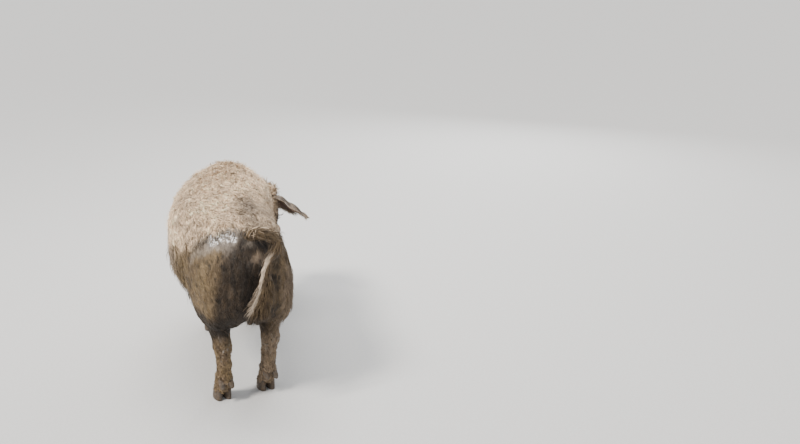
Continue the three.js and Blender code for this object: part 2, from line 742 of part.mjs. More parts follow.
function materialOf(name) {
  if (/claw/.test(name)) return MATERIALS.claw;
  if (/^eye/.test(name)) return MATERIALS.eye;
  if (/^ear/.test(name)) return MATERIALS.ear;
  if (/^(leg|tail)/.test(name)) return MATERIALS.mud;
  return name === "head" ? MATERIALS.skin : MATERIALS.coat;
}

function meshOf(name, made) {
  const { numProp, vertProperties, triVerts } = largest(made).getMesh();
  const count = vertProperties.length / numProp;
  const corner = (i) => Array.from(vertProperties.subarray(i * numProp, i * numProp + 3));
  const points = Float32Array.from({ length: count * 3 }, (_, i) => corner(Math.floor(i / 3))[i % 3]);
  const geometry = new THREE.BufferGeometry();
  geometry.setAttribute("position", new THREE.BufferAttribute(points, 3));
  geometry.setIndex(new THREE.BufferAttribute(triVerts, 1));
  const mesh = new THREE.Mesh(geometry, materialOf(name));
  mesh.name = name;
  return mesh;
}

// The origin is on the floor, below the middle of the animal.
const animal = new THREE.Group();
for (const [name, made] of Object.entries(nodes)) animal.add(meshOf(name, made));
const middle = new THREE.Box3().setFromObject(animal).getCenter(V());
animal.position.set(-middle.x, -middle.y, 0);

export default animal;
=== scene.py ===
"""A muddy Mangalica sow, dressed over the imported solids.

The body is shaped straight, in millimetres, as one blended signed-distance form, and every point
is then bent in plan and moved to the frame's origin. One skin replaces the nodes of flesh, and the
coat grows from that skin as thin solid tufts.
"""
import math

import bmesh
import bpy
import numpy as np
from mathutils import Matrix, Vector, kdtree


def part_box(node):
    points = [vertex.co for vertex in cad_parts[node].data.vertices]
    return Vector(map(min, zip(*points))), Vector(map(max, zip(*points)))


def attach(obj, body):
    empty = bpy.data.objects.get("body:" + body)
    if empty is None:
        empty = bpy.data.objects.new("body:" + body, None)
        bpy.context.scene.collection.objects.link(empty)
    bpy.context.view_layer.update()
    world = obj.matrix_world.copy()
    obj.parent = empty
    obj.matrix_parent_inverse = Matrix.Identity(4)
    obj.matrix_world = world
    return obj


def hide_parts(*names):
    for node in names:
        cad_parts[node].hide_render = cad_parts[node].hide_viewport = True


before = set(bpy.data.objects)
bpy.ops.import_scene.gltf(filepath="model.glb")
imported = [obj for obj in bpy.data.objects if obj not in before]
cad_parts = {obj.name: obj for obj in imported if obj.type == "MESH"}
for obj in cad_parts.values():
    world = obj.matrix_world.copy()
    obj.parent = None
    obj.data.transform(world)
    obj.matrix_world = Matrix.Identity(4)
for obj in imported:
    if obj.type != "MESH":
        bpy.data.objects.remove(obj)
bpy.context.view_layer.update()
DRAW = np.random.default_rng(7)
FAR = 3000.0

# ---- named sizes, as in the solids
BACK = 752  # heights, places along the body and half widths are in millimetres
BELLY = 312
HALF_WIDTH = 200
RUMP_END = -583
STANCE = 91  # of each foot from the middle
HIND = -405  # the legs' places along the body
FORE = 300
HEAD = {"x": 640, "z": 474, "pitch": 42}
SNOUT = 252
TURN = {"hips": 15, "shoulders": -9, "head": -31}
BEND = {"hips": -330, "shoulders": 60, "neck": 280, "poll": 530}
MUD_LINE = {
    "x": (-560, -520, -440, -400, -320, -210, -60, 200, 420),
    "z": (702, 711, 675, 634, 604, 566, 530, 470, 430),
}
GRID = {  # where the skin is sampled: start, end and step of each span
    "x": ((-694, 520, 7), (520, 906, 2.7)),
    "y": ((-264, -114, 5), (-114, 114, 3), (114, 268, 5)),
    "z": ((14, 270, 4), (270, 636, 3), (636, 810, 5)),
}
EYE = {"u": 66, "w": 24, "radius": 12.5, "sunk": 11.5, "forward": 0.5, "pupil": (0.35, 0, 1)}
LIDS = {"half": 14, "upper": 10.6, "lower": 8.4}
TAIL_POINTS = [
    (-470, 0, 668), (-536, -4, 694), (-582, -34, 704), (-610, -66, 694), (-624, -76, 668),
    (-632, -60, 644), (-636, -34, 614), (-638, -13, 572), (-638, -4, 530), (-637, 8, 488),
    (-634, 26, 448), (-630, 46, 412),
]
CAMERA = {"at": (-4.46965, 0.34138, 1.940), "way": (0.93491, -0.19872, -0.29404), "lens": 50.4}


def vec(x, y, z):
    return np.array([x, y, z], np.float32)


def clamp(x, low, high):
    return np.minimum(np.maximum(x, low), high)


def smooth(x, low, high):
    t = clamp((x - low) / (high - low), 0, 1)
    return t * t * (3 - 2 * t)


def unit(v):
    return v / (np.linalg.norm(v, axis=-1, keepdims=True) + 1e-9)


def dot(a, b):
    return (a * b).sum(-1)


# ---- signed-distance forms
def rounded(centre, radii, power=2.0):
    centre, radii = vec(*centre), vec(*radii)

    def form(p):
        q = np.abs((p - centre) / radii)
        if power == 2.0:
            size = np.sqrt((q * q).sum(1)) + 1e-6
            slope = np.sqrt(((q / radii) ** 2).sum(1)) / size
        else:
            size = (q ** power).sum(1) ** (1 / power) + 1e-6
            slope = np.sqrt((((q / size[:, None]) ** (power - 1) / radii) ** 2).sum(1))
        return (size - 1) / (slope + 1e-9)

    return form


def limb(a, b, ra, rb, flat=1.0):
    squeeze = vec(1, flat, 1)
    start = vec(*a) / squeeze
    axis = vec(*b) / squeeze - start
    size = float(axis @ axis)

    def form(p):
        q = p / squeeze - start
        share = clamp(q @ axis / size, 0, 1)
        q -= share[:, None] * axis
        return (np.sqrt((q * q).sum(1)) - ra - (rb - ra) * share) * min(1, flat)

    return form


def blend(a, b, k):
    near = np.maximum(k - np.abs(a - b), 0) / k
    return np.minimum(a, b) - near * near * (k / 4)


def carve(a, b, k):
    return -blend(-a, b, k)


def blended(k, forms):
    def form(p):
        d = forms[0](p)
        for other in forms[1:]:
            d = blend(d, other(p), k)
        return d

    return form


def chain(points, radii, flat=1.0):
    """Limbs from each point to the next."""
    return [limb(a, b, ra, rb, flat) for a, b, ra, rb in zip(points, points[1:], radii, radii[1:])]


def to_left(p):
    """Points of the right half, mirrored to the left one."""
    return p * vec(1, 0, 1) + np.abs(p) * vec(0, 1, 0)


def both_sides(form):
    return lambda p: form(to_left(p))


PITCH = math.radians(HEAD["pitch"])
FACE = vec(math.cos(PITCH), 0, -math.sin(PITCH))
CROWN = vec(math.sin(PITCH), 0, math.cos(PITCH))
SIDE = vec(0, 1, 0)
SKULL = vec(HEAD["x"], 0, HEAD["z"])


def on_head(u, v, w):
    return SKULL + FACE * u + CROWN * w + SIDE * v


def to_head(p):
    d = p - SKULL
    return np.stack([d @ FACE, p[:, 1], d @ CROWN], 1)


def snout_disc(q):
    """A disc across the snout with a rounded edge."""
    half, edge = 9, 6
    across = (np.hypot(q[:, 1] / 51, (q[:, 2] + 10) / 41) - 1) * 41 + edge
    along = np.abs(q[:, 0] - SNOUT + half) - half + edge
    outside = np.hypot(np.maximum(across, 0), np.maximum(along, 0))
    return np.minimum(np.maximum(across, along), 0) + outside - edge


HEAD_FORMS = blended(24, [
    rounded((-14, 0, 12), (108, 92, 84)),
    rounded((42, 0, 42), (70, 70, 36)),
    both_sides(rounded((-14, 62, -66), (112, 66, 98))),
    limb((52, 0, -12), (222, 0, -14), 66, 37, 1.18),
    limb((60, 0, 24), (230, 0, 4), 38, 21, 1.2),
    limb((14, 0, -88), (194, 0, -60), 66, 29, 1),
    both_sides(limb((104, 40, -40), (212, 33, -34), 30, 19)),
    both_sides(rounded((64, 62, 27), (32, 21, 25))),
])


def head(p):
    q = to_head(p)
    return blend(np.maximum(HEAD_FORMS(q), q[:, 0] - SNOUT + 10), snout_disc(q), 9)


TRUNK = blended(46, [
    rounded((-30, 0, BACK - 198), (470, HALF_WIDTH, 198), 2.8),
    rounded((-20, 0, BELLY + 178), (400, HALF_WIDTH - 18, 178)),
    rounded((RUMP_END + 208, 0, 552), (208, 172, 192)),
    both_sides(rounded((HIND, 90, 467), (150, 89, 156), 3)),
    rounded((HIND - 56, 0, 434), (112, 112, 74), 3),
    rounded((255, 0, 546), (200, 186, 200)),
    both_sides(rounded((FORE - 8, 104, 470), (118, 80, 158))),
    rounded((FORE + 96, 0, 446), (136, 116, 122)),
    limb((330, 0, 565), (590, 0, 480), 180, 134, 0.88),
])


def where(mask, p, form):
    """The form's distance where the mask holds, and far away elsewhere."""
    d = np.full(len(p), FAR, np.float32)
    if mask.any():
        d[mask] = form(p[mask])
    return d


def body(p):
    return blend(TRUNK(p), where(p[:, 0] > 400, p, head), 46)


def hind_joints(step):
    return [
        (HIND + 22, 104, 470, 68), (HIND + 10, 102, 384, 66), (HIND - 22, 100, 312, 44),
        (HIND - 42 + step * 0.4, 97, 240, 35), (HIND - 34 + step * 0.7, STANCE, 158, 28),
        (HIND - 24 + step, STANCE, 100, 30), (HIND + 2 + step, STANCE, 50, 30),
    ]


def fore_joints(step):
    return [
        (FORE, 102, 460, 60), (FORE - 6, 108, 362, 54), (FORE + step * 0.4, 104, 212, 36),
        (FORE - 6 + step * 0.7, STANCE, 150, 28), (FORE - 2 + step, STANCE, 100, 30),
        (FORE + 20 + step, STANCE, 50, 30),
    ]


LEGS = [
    {"name": "hind_left", "joints": hind_joints(0), "hock": True, "side": 1},
    {"name": "hind_right", "joints": hind_joints(6), "hock": True, "side": -1},
    {"name": "fore_left", "joints": fore_joints(-34), "hock": False, "side": 1},
    {"name": "fore_right", "joints": fore_joints(26), "hock": False, "side": -1},
]


def leg_form(leg):
    joints = leg["joints"]
    fetlock, coronet = joints[-2], joints[-1]
    places, radii = [joint[:3] for joint in joints], [joint[3] for joint in joints]
    forms = [blended(14, chain(places, radii, 0.92))]
    for way in (1, -1):
        top = (fetlock[0] + 4, fetlock[1] + way * 11, 82)
        forms.append(limb(top, (coronet[0] + 6, coronet[1] + way * 17, 34), 18, 18))
    if leg["hock"]:
        forms += chain([(HIND - 50, 98, 244), (HIND - 78, 98, 272)], [26, 16])
        forms += chain([(HIND - 78, 98, 272), (HIND - 56, 99, 350)], [15, 26])
    made = blended(12, forms)
    crown = unit(vec(-0.34, 0, 1))
    foot = vec(coronet[0], coronet[1], 41)
    mirror = vec(1, leg["side"], 1)
    return lambda p: np.maximum(made(p * mirror), (foot - p * mirror) @ crown)


LEG_FORMS = [leg_form(leg) for leg in LEGS]


def between(t, start, end, a, b):
    """From a at start to b at end."""
    return (end - t) / (end - start) * a + (t - start) / (end - start) * b


def catmull(points, shares):
    """Points on a centripetal Catmull-Rom curve at shares of its length."""
    pts = np.array(points, float)
    pts = np.vstack([2 * pts[0] - pts[1], pts, 2 * pts[-1] - pts[-2]])
    fine = []
    for i in range(1, len(pts) - 2):
        p0, p1, p2, p3 = pts[i - 1:i + 3]
        t1, t2, t3 = np.cumsum(np.linalg.norm(np.diff(pts[i - 1:i + 3], axis=0), axis=1) ** 0.5)
        for t in np.linspace(t1, t2, 24, endpoint=False):
            a = between(t, 0, t1, p0, p1)
            b = between(t, t1, t2, p1, p2)
            c = between(t, t2, t3, p2, p3)
            fine.append(between(t, t1, t2, between(t, 0, t2, a, b), between(t, t1, t3, b, c)))
    fine = np.array(fine + [pts[-2]])
    run = np.concatenate([[0], np.cumsum(np.linalg.norm(np.diff(fine, axis=0), axis=1))])
    at = shares * run[-1]
    return np.stack([np.interp(at, run, fine[:, k]) for k in range(3)], -1).astype(np.float32)


TAIL_SHARES = np.linspace(0, 0.95, 13)
TAIL_KNOTS = catmull(TAIL_POINTS, TAIL_SHARES)
TAIL_RADII = 19 - 11 * TAIL_SHARES
TAIL = blended(6, [*chain(TAIL_KNOTS, TAIL_RADII), limb((-638, -24, 548), (-634, 4, 446), 16, 20)])
TEATS = blended(2, [
    limb((x, 56, 326), (x - 3, 60, BELLY - 3), 15, 7) for x in (-190, -100, -10, 80, 170)])


# ---- noise and regions
def noise(p, scale, seed):
    """Smooth noise from -1 to 1: waves in random directions, about scale long."""
    draw = np.random.default_rng(seed)
    total = np.zeros(len(p), np.float32)
    for _ in range(7):
        way = unit(draw.normal(size=3)) * (2 * math.pi / scale) * draw.uniform(0.7, 1.5)
        total += np.sin(p @ way.astype(np.float32) + draw.uniform(0, 6.28))
    return clamp(total / 3.6, -1, 1)


def face_share(p):
    return smooth((p - SKULL) @ FACE, -120, 10) * smooth(p[:, 0], 470, 560)


def mud_line(p):
    """How high the wet mud reaches: it falls from rump to chest and is lower on the right ham."""
    height = np.interp(p[:, 0], MUD_LINE["x"], MUD_LINE["z"])
    return height - 46 * smooth(-p[:, 1], 30, 130) * smooth(-p[:, 0], 400, 500)


def flank_share(p):
    return smooth(p[:, 0], -430, -250)


def mud_depth(p):
    """How far a point lies below the ragged edge of the mud."""
    ragged = 10 * noise(p, 70, 23) + 6 * noise(p, 18, 24)
    return mud_line(p) + ragged + 26 * flank_share(p) * noise(p * vec(1, 1, 0.3), 48, 42) - p[:, 2]


def wet_sheen_band(p, below):
    """The glossy strip below the edge of the mud on the left ham, painted with a grey sheen."""
    x, y, _ = p.T
    band = smooth(below, -12, 6) * (1 - smooth(below, 42, 94)) * smooth(-x, 350, 420)
    return band * smooth(y - clamp(below, 0, 60), -8, 34) * (1 - 0.45 * smooth(y, 120, 160))


def plastered(p):
    return smooth(-p[:, 0], 190, 330) * smooth(mud_line(p) - p[:, 2], -26, 14)


def wool_at(p):
    leg = smooth(270 - p[:, 2], 0, 90)
    return (1 - plastered(p)) * (1 - face_share(p)) * (1 - leg)


def clods(p):
    """Lumps of dried mud on the feet and up the shanks."""
    low = smooth(150 - p[:, 2], 0, 50) + 0.35 * smooth(280 - p[:, 2], 0, 60)
    return smooth(noise(p, 15, 14), 0.3, 0.75) * low * 0.74


def reach(form, start, way):
    """How far it is from a place inside a form to its surface."""
    t = np.arange(0, 420, 0.5, dtype=np.float32)
    d = form(start + t[:, None] * way)
    return float(t[np.argmax(d > 0)])


def eye_place():
    inside = on_head(EYE["u"], 0, EYE["w"])
    way = unit(SIDE + FACE * EYE["forward"] + CROWN * 0.12)
    return inside + way * (reach(body, inside, way) - EYE["sunk"]), way


EYE_AT, EYE_OUT = eye_place()
EYE_ACROSS = unit(FACE - EYE_OUT * (FACE @ EYE_OUT))
EYE_UP = np.cross(EYE_OUT, EYE_ACROSS)
EYE_UP *= np.sign(EYE_UP @ CROWN)


def mouth_line():
    places = [(on_head(u, 0, -60 + (u - 108) * 0.22), SIDE) for u in (104, 122, 140, 158, 176, 192)]
    for a in (1.2, 0.9, 0.6, 0.3, 0):
        places.append((on_head(197, 0, -40), unit(FACE * math.cos(a) + SIDE * math.sin(a))))
    return [at + way * reach(body, at, way) for at, way in places]


MOUTH = mouth_line()
MOUTH_GROOVE = blended(2, chain(MOUTH, [2.4] * len(MOUTH)))


def wrinkles(u, v, w):
    """Creases across the top of the snout, from -1 in a fold to 1 on a ridge."""
    top = smooth(w, -34, 4) * smooth(u, 128, 200) * (1 - smooth(u, 228, 238))
    return top * np.sin(u * 0.50 - 0.0022 * v * v + 0.9 * np.sin(v * 0.05 + u * 0.03))


def nostril(q):
    turn = 0.35
    r = q - vec(SNOUT + 2, 19, -9)
    r = np.stack([r[:, 0], r[:, 1] * math.cos(turn) - r[:, 2] * math.sin(turn),
                  r[:, 1] * math.sin(turn) + r[:, 2] * math.cos(turn)], 1)
    return rounded((0, 0, 0), (18, 10.5, 13))(r)


def face_details(p, d):
    """Lids, nostrils, lips and wrinkles, cut into or raised on the head."""
    mirrored = to_left(p)
    q = to_head(mirrored)
    u, v, w = q.T
    # wrinkles over the snout and folds on the cheek
    d = d - 1.9 * wrinkles(u, v, w)
    cheek = smooth(u, 40, 70) * (1 - smooth(u, 120, 150)) * smooth(v, 40, 60)
    d = d + 2.0 * cheek * np.sin((u + 0.7 * w) * 0.17 + noise(p, 80, 4))
    brow = np.exp(-((u - 46) / 20) ** 2) * smooth(w, 20, 50)
    d = d + 1.6 * brow * np.sin(v * 0.24 + 0.8)
    d = d - (1.3 * noise(p, 34, 3) + 0.7 * noise(p, 13, 5)) * face_share(p)
    # ear mound
    d = blend(d, limb(on_head(-46, 44, 46), on_head(-42, 84, 66), 32, 24)(mirrored), 26)
    # lips along the mouth
    groove = MOUTH_GROOVE(mirrored)
    d = d - 2.6 * np.exp(-((groove - 5) / 7) ** 2)
    d = carve(d, groove, 3)
    # nostrils and the dish of the disc
    d = carve(d, rounded((SNOUT + 30, 0, -10), (33, 37, 28))(q), 5)
    hole = nostril(q)
    d = d - 1.8 * np.exp(-((hole - 3) / 4) ** 2)
    d = carve(d, hole, 2.5)
    # lids round each eye
    e = mirrored - EYE_AT
    ball = np.sqrt((e * e).sum(1))
    a, b, c = e @ EYE_ACROSS, e @ EYE_UP, e @ EYE_OUT
    d = blend(d, ball - EYE["radius"] - 2.3, 5)
    d = d + 1.6 * np.exp(-((ball - EYE["radius"] - 9) / 3) ** 2)
    arch = 1 - (a / LIDS["half"]) ** 2
    slit = np.maximum(b - LIDS["upper"] * arch - 0.06 * a, -LIDS["lower"] * arch - b)
    opening = np.maximum(slit * 0.8, 2 - c)
    return carve(d, opening, 2)


def rear_details(p, d):
    """The hollow under the tail, the folds below it and the cleft between the hams."""
    d = blend(d, rounded((-574, 0, 578), (17, 21, 34))(p), 14)
    d = carve(d, rounded((-584, -2, 634), (20, 15, 17))(p), 14)
    d = carve(d, rounded((-592, -36, 642), (30, 34, 20))(p), 12)
    d = carve(d, limb((-597, 0, 600), (-592, 0, 552), 2.5, 2.5)(p), 8)
    return carve(d, limb((-592, 0, 530), (-556, 0, 330), 10, 16)(p), 22)


def skin(p):
    """Signed distance to the whole skin."""
    p = np.ascontiguousarray(p, np.float32)
    d = body(p)
    x, y, z = p.T
    for leg, form in zip(LEGS, LEG_FORMS):
        middle = HIND if leg["hock"] else FORE
        near = (z < 580) & (np.abs(x - middle) < 190) & (y * leg["side"] > -20)
        d = blend(d, where(near, p, form), 16)
    d = d + 0.8 + 3.5 * wool_at(p)
    d = blend(d, where(x < -430, p, TAIL), 16)
    d = blend(d, where((z < 380) & (np.abs(x) < 240), p, both_sides(TEATS)), 6)
    d = d + 1.6 * noise(p, 90, 11) * (1 - face_share(p)) * smooth(z, 200, 320)
    d = d + 1.2 * plastered(p) * noise(p * vec(1, 1, 0.25), 22, 12)
    d = d - 1.8 * noise(p, 26, 13) * smooth(300 - z, 0, 80)
    d = d - 5 * clods(p)
    rear = x < -520
    if rear.any():
        d[rear] = rear_details(p[rear], d[rear])
    front = (x > 560) & (np.abs(d) < 60)
    if front.any():
        d[front] = face_details(p[front], d[front])
    return d


def slope_of_skin(p, e=1.2):
    ways = np.eye(3, dtype=np.float32) * e
    return np.stack([skin(p + way) - skin(p - way) for way in ways], 1) / (2 * e)


# ---- bending in plan
SPINE_STEP = 5.0
SPINE_START = -800.0


def heading(x):
    hips, shoulders, turned = TURN["hips"], TURN["shoulders"], TURN["head"]
    body_turn = hips + (shoulders - hips) * smooth(x, BEND["hips"], BEND["shoulders"])
    return np.radians(body_turn + (turned - shoulders) * smooth(x, BEND["neck"], BEND["poll"]))


STEPS = heading(SPINE_START + (np.arange(400) + 0.5) * SPINE_STEP)
SPINE = np.concatenate([[[SPINE_START, 0]], [SPINE_START, 0] + np.cumsum(
    np.stack([np.cos(STEPS), np.sin(STEPS)], 1) * SPINE_STEP, axis=0)])


def bent_only(p):
    p = np.atleast_2d(p)
    place = (p[:, 0] - SPINE_START) / SPINE_STEP
    on = [np.interp(place, np.arange(len(SPINE)), SPINE[:, k]) for k in range(2)]
    angle = heading(p[:, 0])
    return np.stack([on[0] - p[:, 1] * np.sin(angle), on[1] + p[:, 1] * np.cos(angle), p[:, 2]], 1)


def frame_shift():
    """How far the solids were moved to put their origin below the middle: read off an eye."""
    low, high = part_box("eye_left")
    centre = (np.array(low) + np.array(high)) * 500
    return np.array([*(centre - bent_only(EYE_AT)[0])[:2], 0])


SHIFT = frame_shift()


def bent(p):
    """Millimetres in the straight body to metres in the frame."""
    return (bent_only(p) + SHIFT) * 0.001


# ---- meshes
def mesh_object(name, points, faces):
    """A smooth mesh of faces that all have the same number of corners; points are in the frame."""
    faces = np.asarray(faces, np.int32)
    mesh = bpy.data.meshes.new(name)
    mesh.vertices.add(len(points))
    mesh.vertices.foreach_set("co", np.asarray(points, np.float32).ravel())
    mesh.loops.add(faces.size)
    mesh.loops.foreach_set("vertex_index", faces.ravel())
    mesh.polygons.add(len(faces))
    starts = np.arange(0, faces.size, faces.shape[1], dtype=np.int32)
    mesh.polygons.foreach_set("loop_start", starts)
    mesh.update(calc_edges=True)
    mesh.shade_smooth()
    made = bpy.data.objects.new(name, mesh)
    bpy.context.scene.collection.objects.link(made)
    return made


def give(obj, name, values):
    """Stores numbers, or colours, on the points of a mesh."""
    values = np.asarray(values, np.float32)
    kind = "FLOAT" if values.ndim == 1 else "FLOAT_COLOR"
    attribute = obj.data.attributes.new(name, kind, "POINT")
    if values.ndim == 2:
        values = np.concatenate([values, np.ones((len(values), 1), np.float32)], 1)
    attribute.data.foreach_set("value" if kind == "FLOAT" else "color", values.ravel())


def skin_values(xs, ys, zs, block=12):
    """The skin's distance on a grid, worked out only near its surface."""
    shape = (len(xs), len(ys), len(zs))
    d = np.full(shape, 50, np.float32)
    starts = np.array([(i, j, k) for i in range(0, shape[0], block)
                       for j in range(0, shape[1], block) for k in range(0, shape[2], block)])
    ends = np.minimum(starts + block, shape)
    low = np.stack([xs[starts[:, 0]], ys[starts[:, 1]], zs[starts[:, 2]]], 1)
    high = np.stack([xs[ends[:, 0] - 1], ys[ends[:, 1] - 1], zs[ends[:, 2] - 1]], 1)
    middle = skin((low + high) / 2)
    near = np.abs(middle) < np.linalg.norm(high - low, axis=1) * 0.5 * 1.3 + 12
    for (i, j, k), (l, m, n), value, close in zip(starts, ends, middle, near):
        if close:
            at = np.stack(np.meshgrid(xs[i:l], ys[j:m], zs[k:n], indexing="ij"), -1).reshape(-1, 3)
            value = skin(at).reshape(l - i, m - j, n - k)
        d[i:l, j:m, k:n] = value if close else math.copysign(50, value)
    return d


def surface_nets(d, xs, ys, zs):
    """Points and quads of the surface where d is zero."""
    inside = d < 0
    nx, ny, nz = d.shape
    corners = [(i, j, k) for i in (0, 1) for j in (0, 1) for k in (0, 1)]
    count = sum(inside[i:nx - 1 + i, j:ny - 1 + j, k:nz - 1 + k].astype(np.int8)
                for i, j, k in corners)
    cut = (count > 0) & (count < 8)
    cells = np.argwhere(cut)
    ids = np.full(cut.shape, -1, np.int32)
    ids[cut] = np.arange(len(cells))
    at = cells[:, None] + np.array(corners)
    values = d[at[..., 0], at[..., 1], at[..., 2]]
    places = np.stack([xs[at[..., 0]], ys[at[..., 1]], zs[at[..., 2]]], -1)
    total = np.zeros((len(cells), 3))
    hits = np.zeros(len(cells))
    for a, b in ((a, a | bit) for a in range(8) for bit in (1, 2, 4) if not a & bit):
        crosses = (values[:, a] < 0) != (values[:, b] < 0)
        t = values[:, a] / (values[:, a] - values[:, b] + 1e-12)
        total[crosses] += (places[:, a] + (places[:, b] - places[:, a]) * t[:, None])[crosses]
        hits += crosses
    quads = []
    for axis in range(3):
        lower = np.take(inside, range(d.shape[axis] - 1), axis)
        upper = np.take(inside, range(1, d.shape[axis]), axis)
        edges = np.argwhere(lower != upper)
        others = [k for k in range(3) if k != axis]
        last = np.array(d.shape)[others] - 1
        edges = edges[(edges[:, others] > 0).all(1) & (edges[:, others] < last).all(1)]
        ring = []
        for step in ((-1, -1), (0, -1), (0, 0), (-1, 0)):
            cell = edges.copy()
            cell[:, others] += step
            ring.append(ids[tuple(cell.T)])
        ring = np.stack(ring, 1)
        outward = lower[tuple(edges.T)] ^ (axis == 1)
        quads.append(np.where(outward[:, None], ring, ring[:, ::-1]))
    return total / hits[:, None], np.concatenate(quads)


# ---- the skin
def steps(*spans):
    return np.concatenate([np.arange(low, high, step, dtype=float) for low, high, step in spans])


def make_skin_surface():
    xs, ys, zs = (steps(*GRID[axis]) for axis in "xyz")
    points, quads = surface_nets(skin_values(xs, ys, zs), xs, ys, zs)
    points = points.astype(np.float32)
    for _ in range(2):
        slope = slope_of_skin(points)
        points -= slope * clamp(skin(points) / np.maximum(dot(slope, slope), 0.3), -2, 2)[:, None]
    return points, quads, unit(slope_of_skin(points))


def skin_object(points, quads, normals):
    made = mesh_object("skin", bent(points), quads)
    tint, wet = paint(points, normals)
    give(made, "tint", tint)
    give(made, "wet", wet)
    return made


# ---- ears, eyes and claws
EAR = {
    "spine": [(-46, 44, 54), (-22, 166, 56), (40, 268, -18)],
    "across": (0.98, 0, 0.05),
    "widths": [36, 56, 88, 116, 128, 112, 72, 12],
    "thick": (8, 4.5),
    "roll": (190, 50),
}


def ear_grid(side, rows, columns, depth):
    """Points over one face of an ear; depth is 0 on the outer face and 1 on the inner one."""
    share = np.linspace(0, 1, rows)[:, None]
    a, b, c = (np.array(p, float) for p in EAR["spine"])
    centre = (1 - share) ** 2 * a + 2 * share * (1 - share) * b + share ** 2 * c
    along = unit(2 * (1 - share) * (b - a) + 2 * share * (c - b))
    across = np.array(EAR["across"]) - along * (along @ np.array(EAR["across"]))[:, None]
    across = unit(across)
    face = np.cross(across, along)
    width = np.interp(share[:, 0], np.linspace(0, 1, len(EAR["widths"])), EAR["widths"])
    for _ in range(rows // 12):
        width[1:-1] = (width[:-2] + width[1:-1] + width[2:]) / 3
    roll = np.radians(EAR["roll"][0] + (EAR["roll"][1] - EAR["roll"][0]) * np.sqrt(share[:, 0]))
    radius = width / roll
    thick = EAR["thick"][0] + (EAR["thick"][1] - EAR["thick"][0]) * share[:, 0]
    thick *= smooth(share[:, 0], 1.02, 0.9) * 0.6 + 0.4
    place = np.linspace(-0.5, 0.5, columns)
    rim = np.sqrt(np.maximum(1 - np.abs(place * 2) ** 6, 0))
    r = radius[:, None] - (depth - 0.5) * np.minimum(thick, radius * 0.6)[:, None] * rim
    angle = place * roll[:, None]
    ripple = 1 + 0.055 * np.sin(9 * share + 5 * place) * share
    fold = 8 * np.sin(share * 8 + 1.5 * place) * share * np.abs(place * 2)
    crease = 2.6 * np.sin(share * 21 + 6 * place) * smooth(share, 0.15, 0.4)
    at = centre[:, None] + across[:, None] * (np.sin(angle) * r * ripple)[..., None]
    at = at + face[:, None] * (np.cos(angle) * r - radius[:, None] + fold + crease)[..., None]
    at = at.reshape(-1, 3)
    return SKULL + at[:, :1] * FACE + at[:, 2:] * CROWN + at[:, 1:2] * SIDE * side


def closed_sheet(outer, inner, rows, columns):
    """Quads over two like grids of points, joined round their rim."""
    index = np.arange(rows * columns).reshape(rows, columns)
    cell = [index[:-1, :-1], index[:-1, 1:], index[1:, 1:], index[1:, :-1]]
    cell = np.stack(cell, -1).reshape(-1, 4)
    rim = np.concatenate([index[0, :-1], index[:-1, -1], index[-1, :0:-1], index[:0:-1, 0]])
    following = np.roll(rim, -1)
    side = np.stack([rim, rim + index.size, following + index.size, following], 1)
    return np.concatenate([outer, inner]), np.concatenate([cell[:, ::-1], cell + index.size, side])


def fix_normals(obj):
    """Turns every face of closed shells outwards."""
    made = bmesh.new()
    made.from_mesh(obj.data)
    bmesh.ops.recalc_face_normals(made, faces=made.faces)
    made.to_mesh(obj.data)
    made.free()


def ear_object(name, side):
    rows, columns = 60, 36
    faces = [ear_grid(side, rows, columns, depth) for depth in (0, 1)]
    points, quads = closed_sheet(*faces, rows, columns)
    made = mesh_object(name, bent(points), quads)
    fix_normals(made)
    share = np.tile(np.repeat(np.linspace(0, 1, rows), columns), 2)
    rim = np.tile(np.abs(np.linspace(-1, 1, columns)), rows * 2) ** 8
    give(made, "inner", np.repeat([0.0, 1.0], rows * columns))
    give(made, "rim", np.maximum(rim, smooth(share, 0.93, 1.0)))
    give(made, "share", share)
    return made


def eye_object(name, side):
    mirror = vec(1, side, 1)
    radius = EYE["radius"] * 0.001
    bpy.ops.mesh.primitive_uv_sphere_add(segments=40, ring_count=24, radius=radius)
    made = bpy.context.active_object
    made.name = made.data.name = name
    co = np.zeros(len(made.data.vertices) * 3, np.float32)
    made.data.vertices.foreach_get("co", co)
    co = co.reshape(-1, 3)
    centre = bent(EYE_AT * mirror)[0]
    out = unit(bent(EYE_AT * mirror + EYE_OUT * mirror)[0] - centre)
    face = unit(bent(EYE_AT * mirror + FACE)[0] - centre)
    across = unit(face - out * (face @ out))
    up = np.cross(out, across)
    up *= np.sign(up[2])
    towards = co @ unit(vec(*EYE["pupil"])) / radius
    local = co * (1 + 0.07 * smooth(towards, 0.72, 0.95))[:, None]
    points = local[:, :1] * across + local[:, 1:2] * up + local[:, 2:] * out + centre
    made.data.vertices.foreach_set("co", points.astype(np.float32).ravel())
    give(made, "towards", towards)
    made.data.shade_smooth()
    made.data.update()
    return made


def loft(rings):
    """Quads over rings of equal count, with a small cap ring drawn to the middle of each end."""
    def cap(ring, share):
        return ring.mean(0) + (ring - ring.mean(0)) * share

    first, last = rings[0], rings[-1]
    rings = np.array([cap(first, 0.03), cap(first, 0.6), *rings, cap(last, 0.6), cap(last, 0.03)])
    count = rings.shape[1]
    i = np.arange(count)
    j = (i + 1) % count
    quads = [np.stack([r * count + i, r * count + j, (r + 1) * count + j, (r + 1) * count + i], 1)
             for r in range(len(rings) - 1)]
    return rings.reshape(-1, 3), np.concatenate(quads)


CLAW = (  # height, half length, half width and shift forwards
    (0, 35.5, 13.8, 6), (1.2, 37.6, 15.2, 6), (4, 39, 16.3, 6), (14, 38, 16.6, 5),
    (26, 35.5, 16.3, 3), (36, 32.5, 15.6, 0), (46, 29, 14.6, -3), (54, 25, 12, -4),
)
DEWCLAW = ((0, 12), (0.3, 13), (0.6, 12.6), (0.82, 10), (0.95, 6.5), (1.0, 3.2))  # share and radius


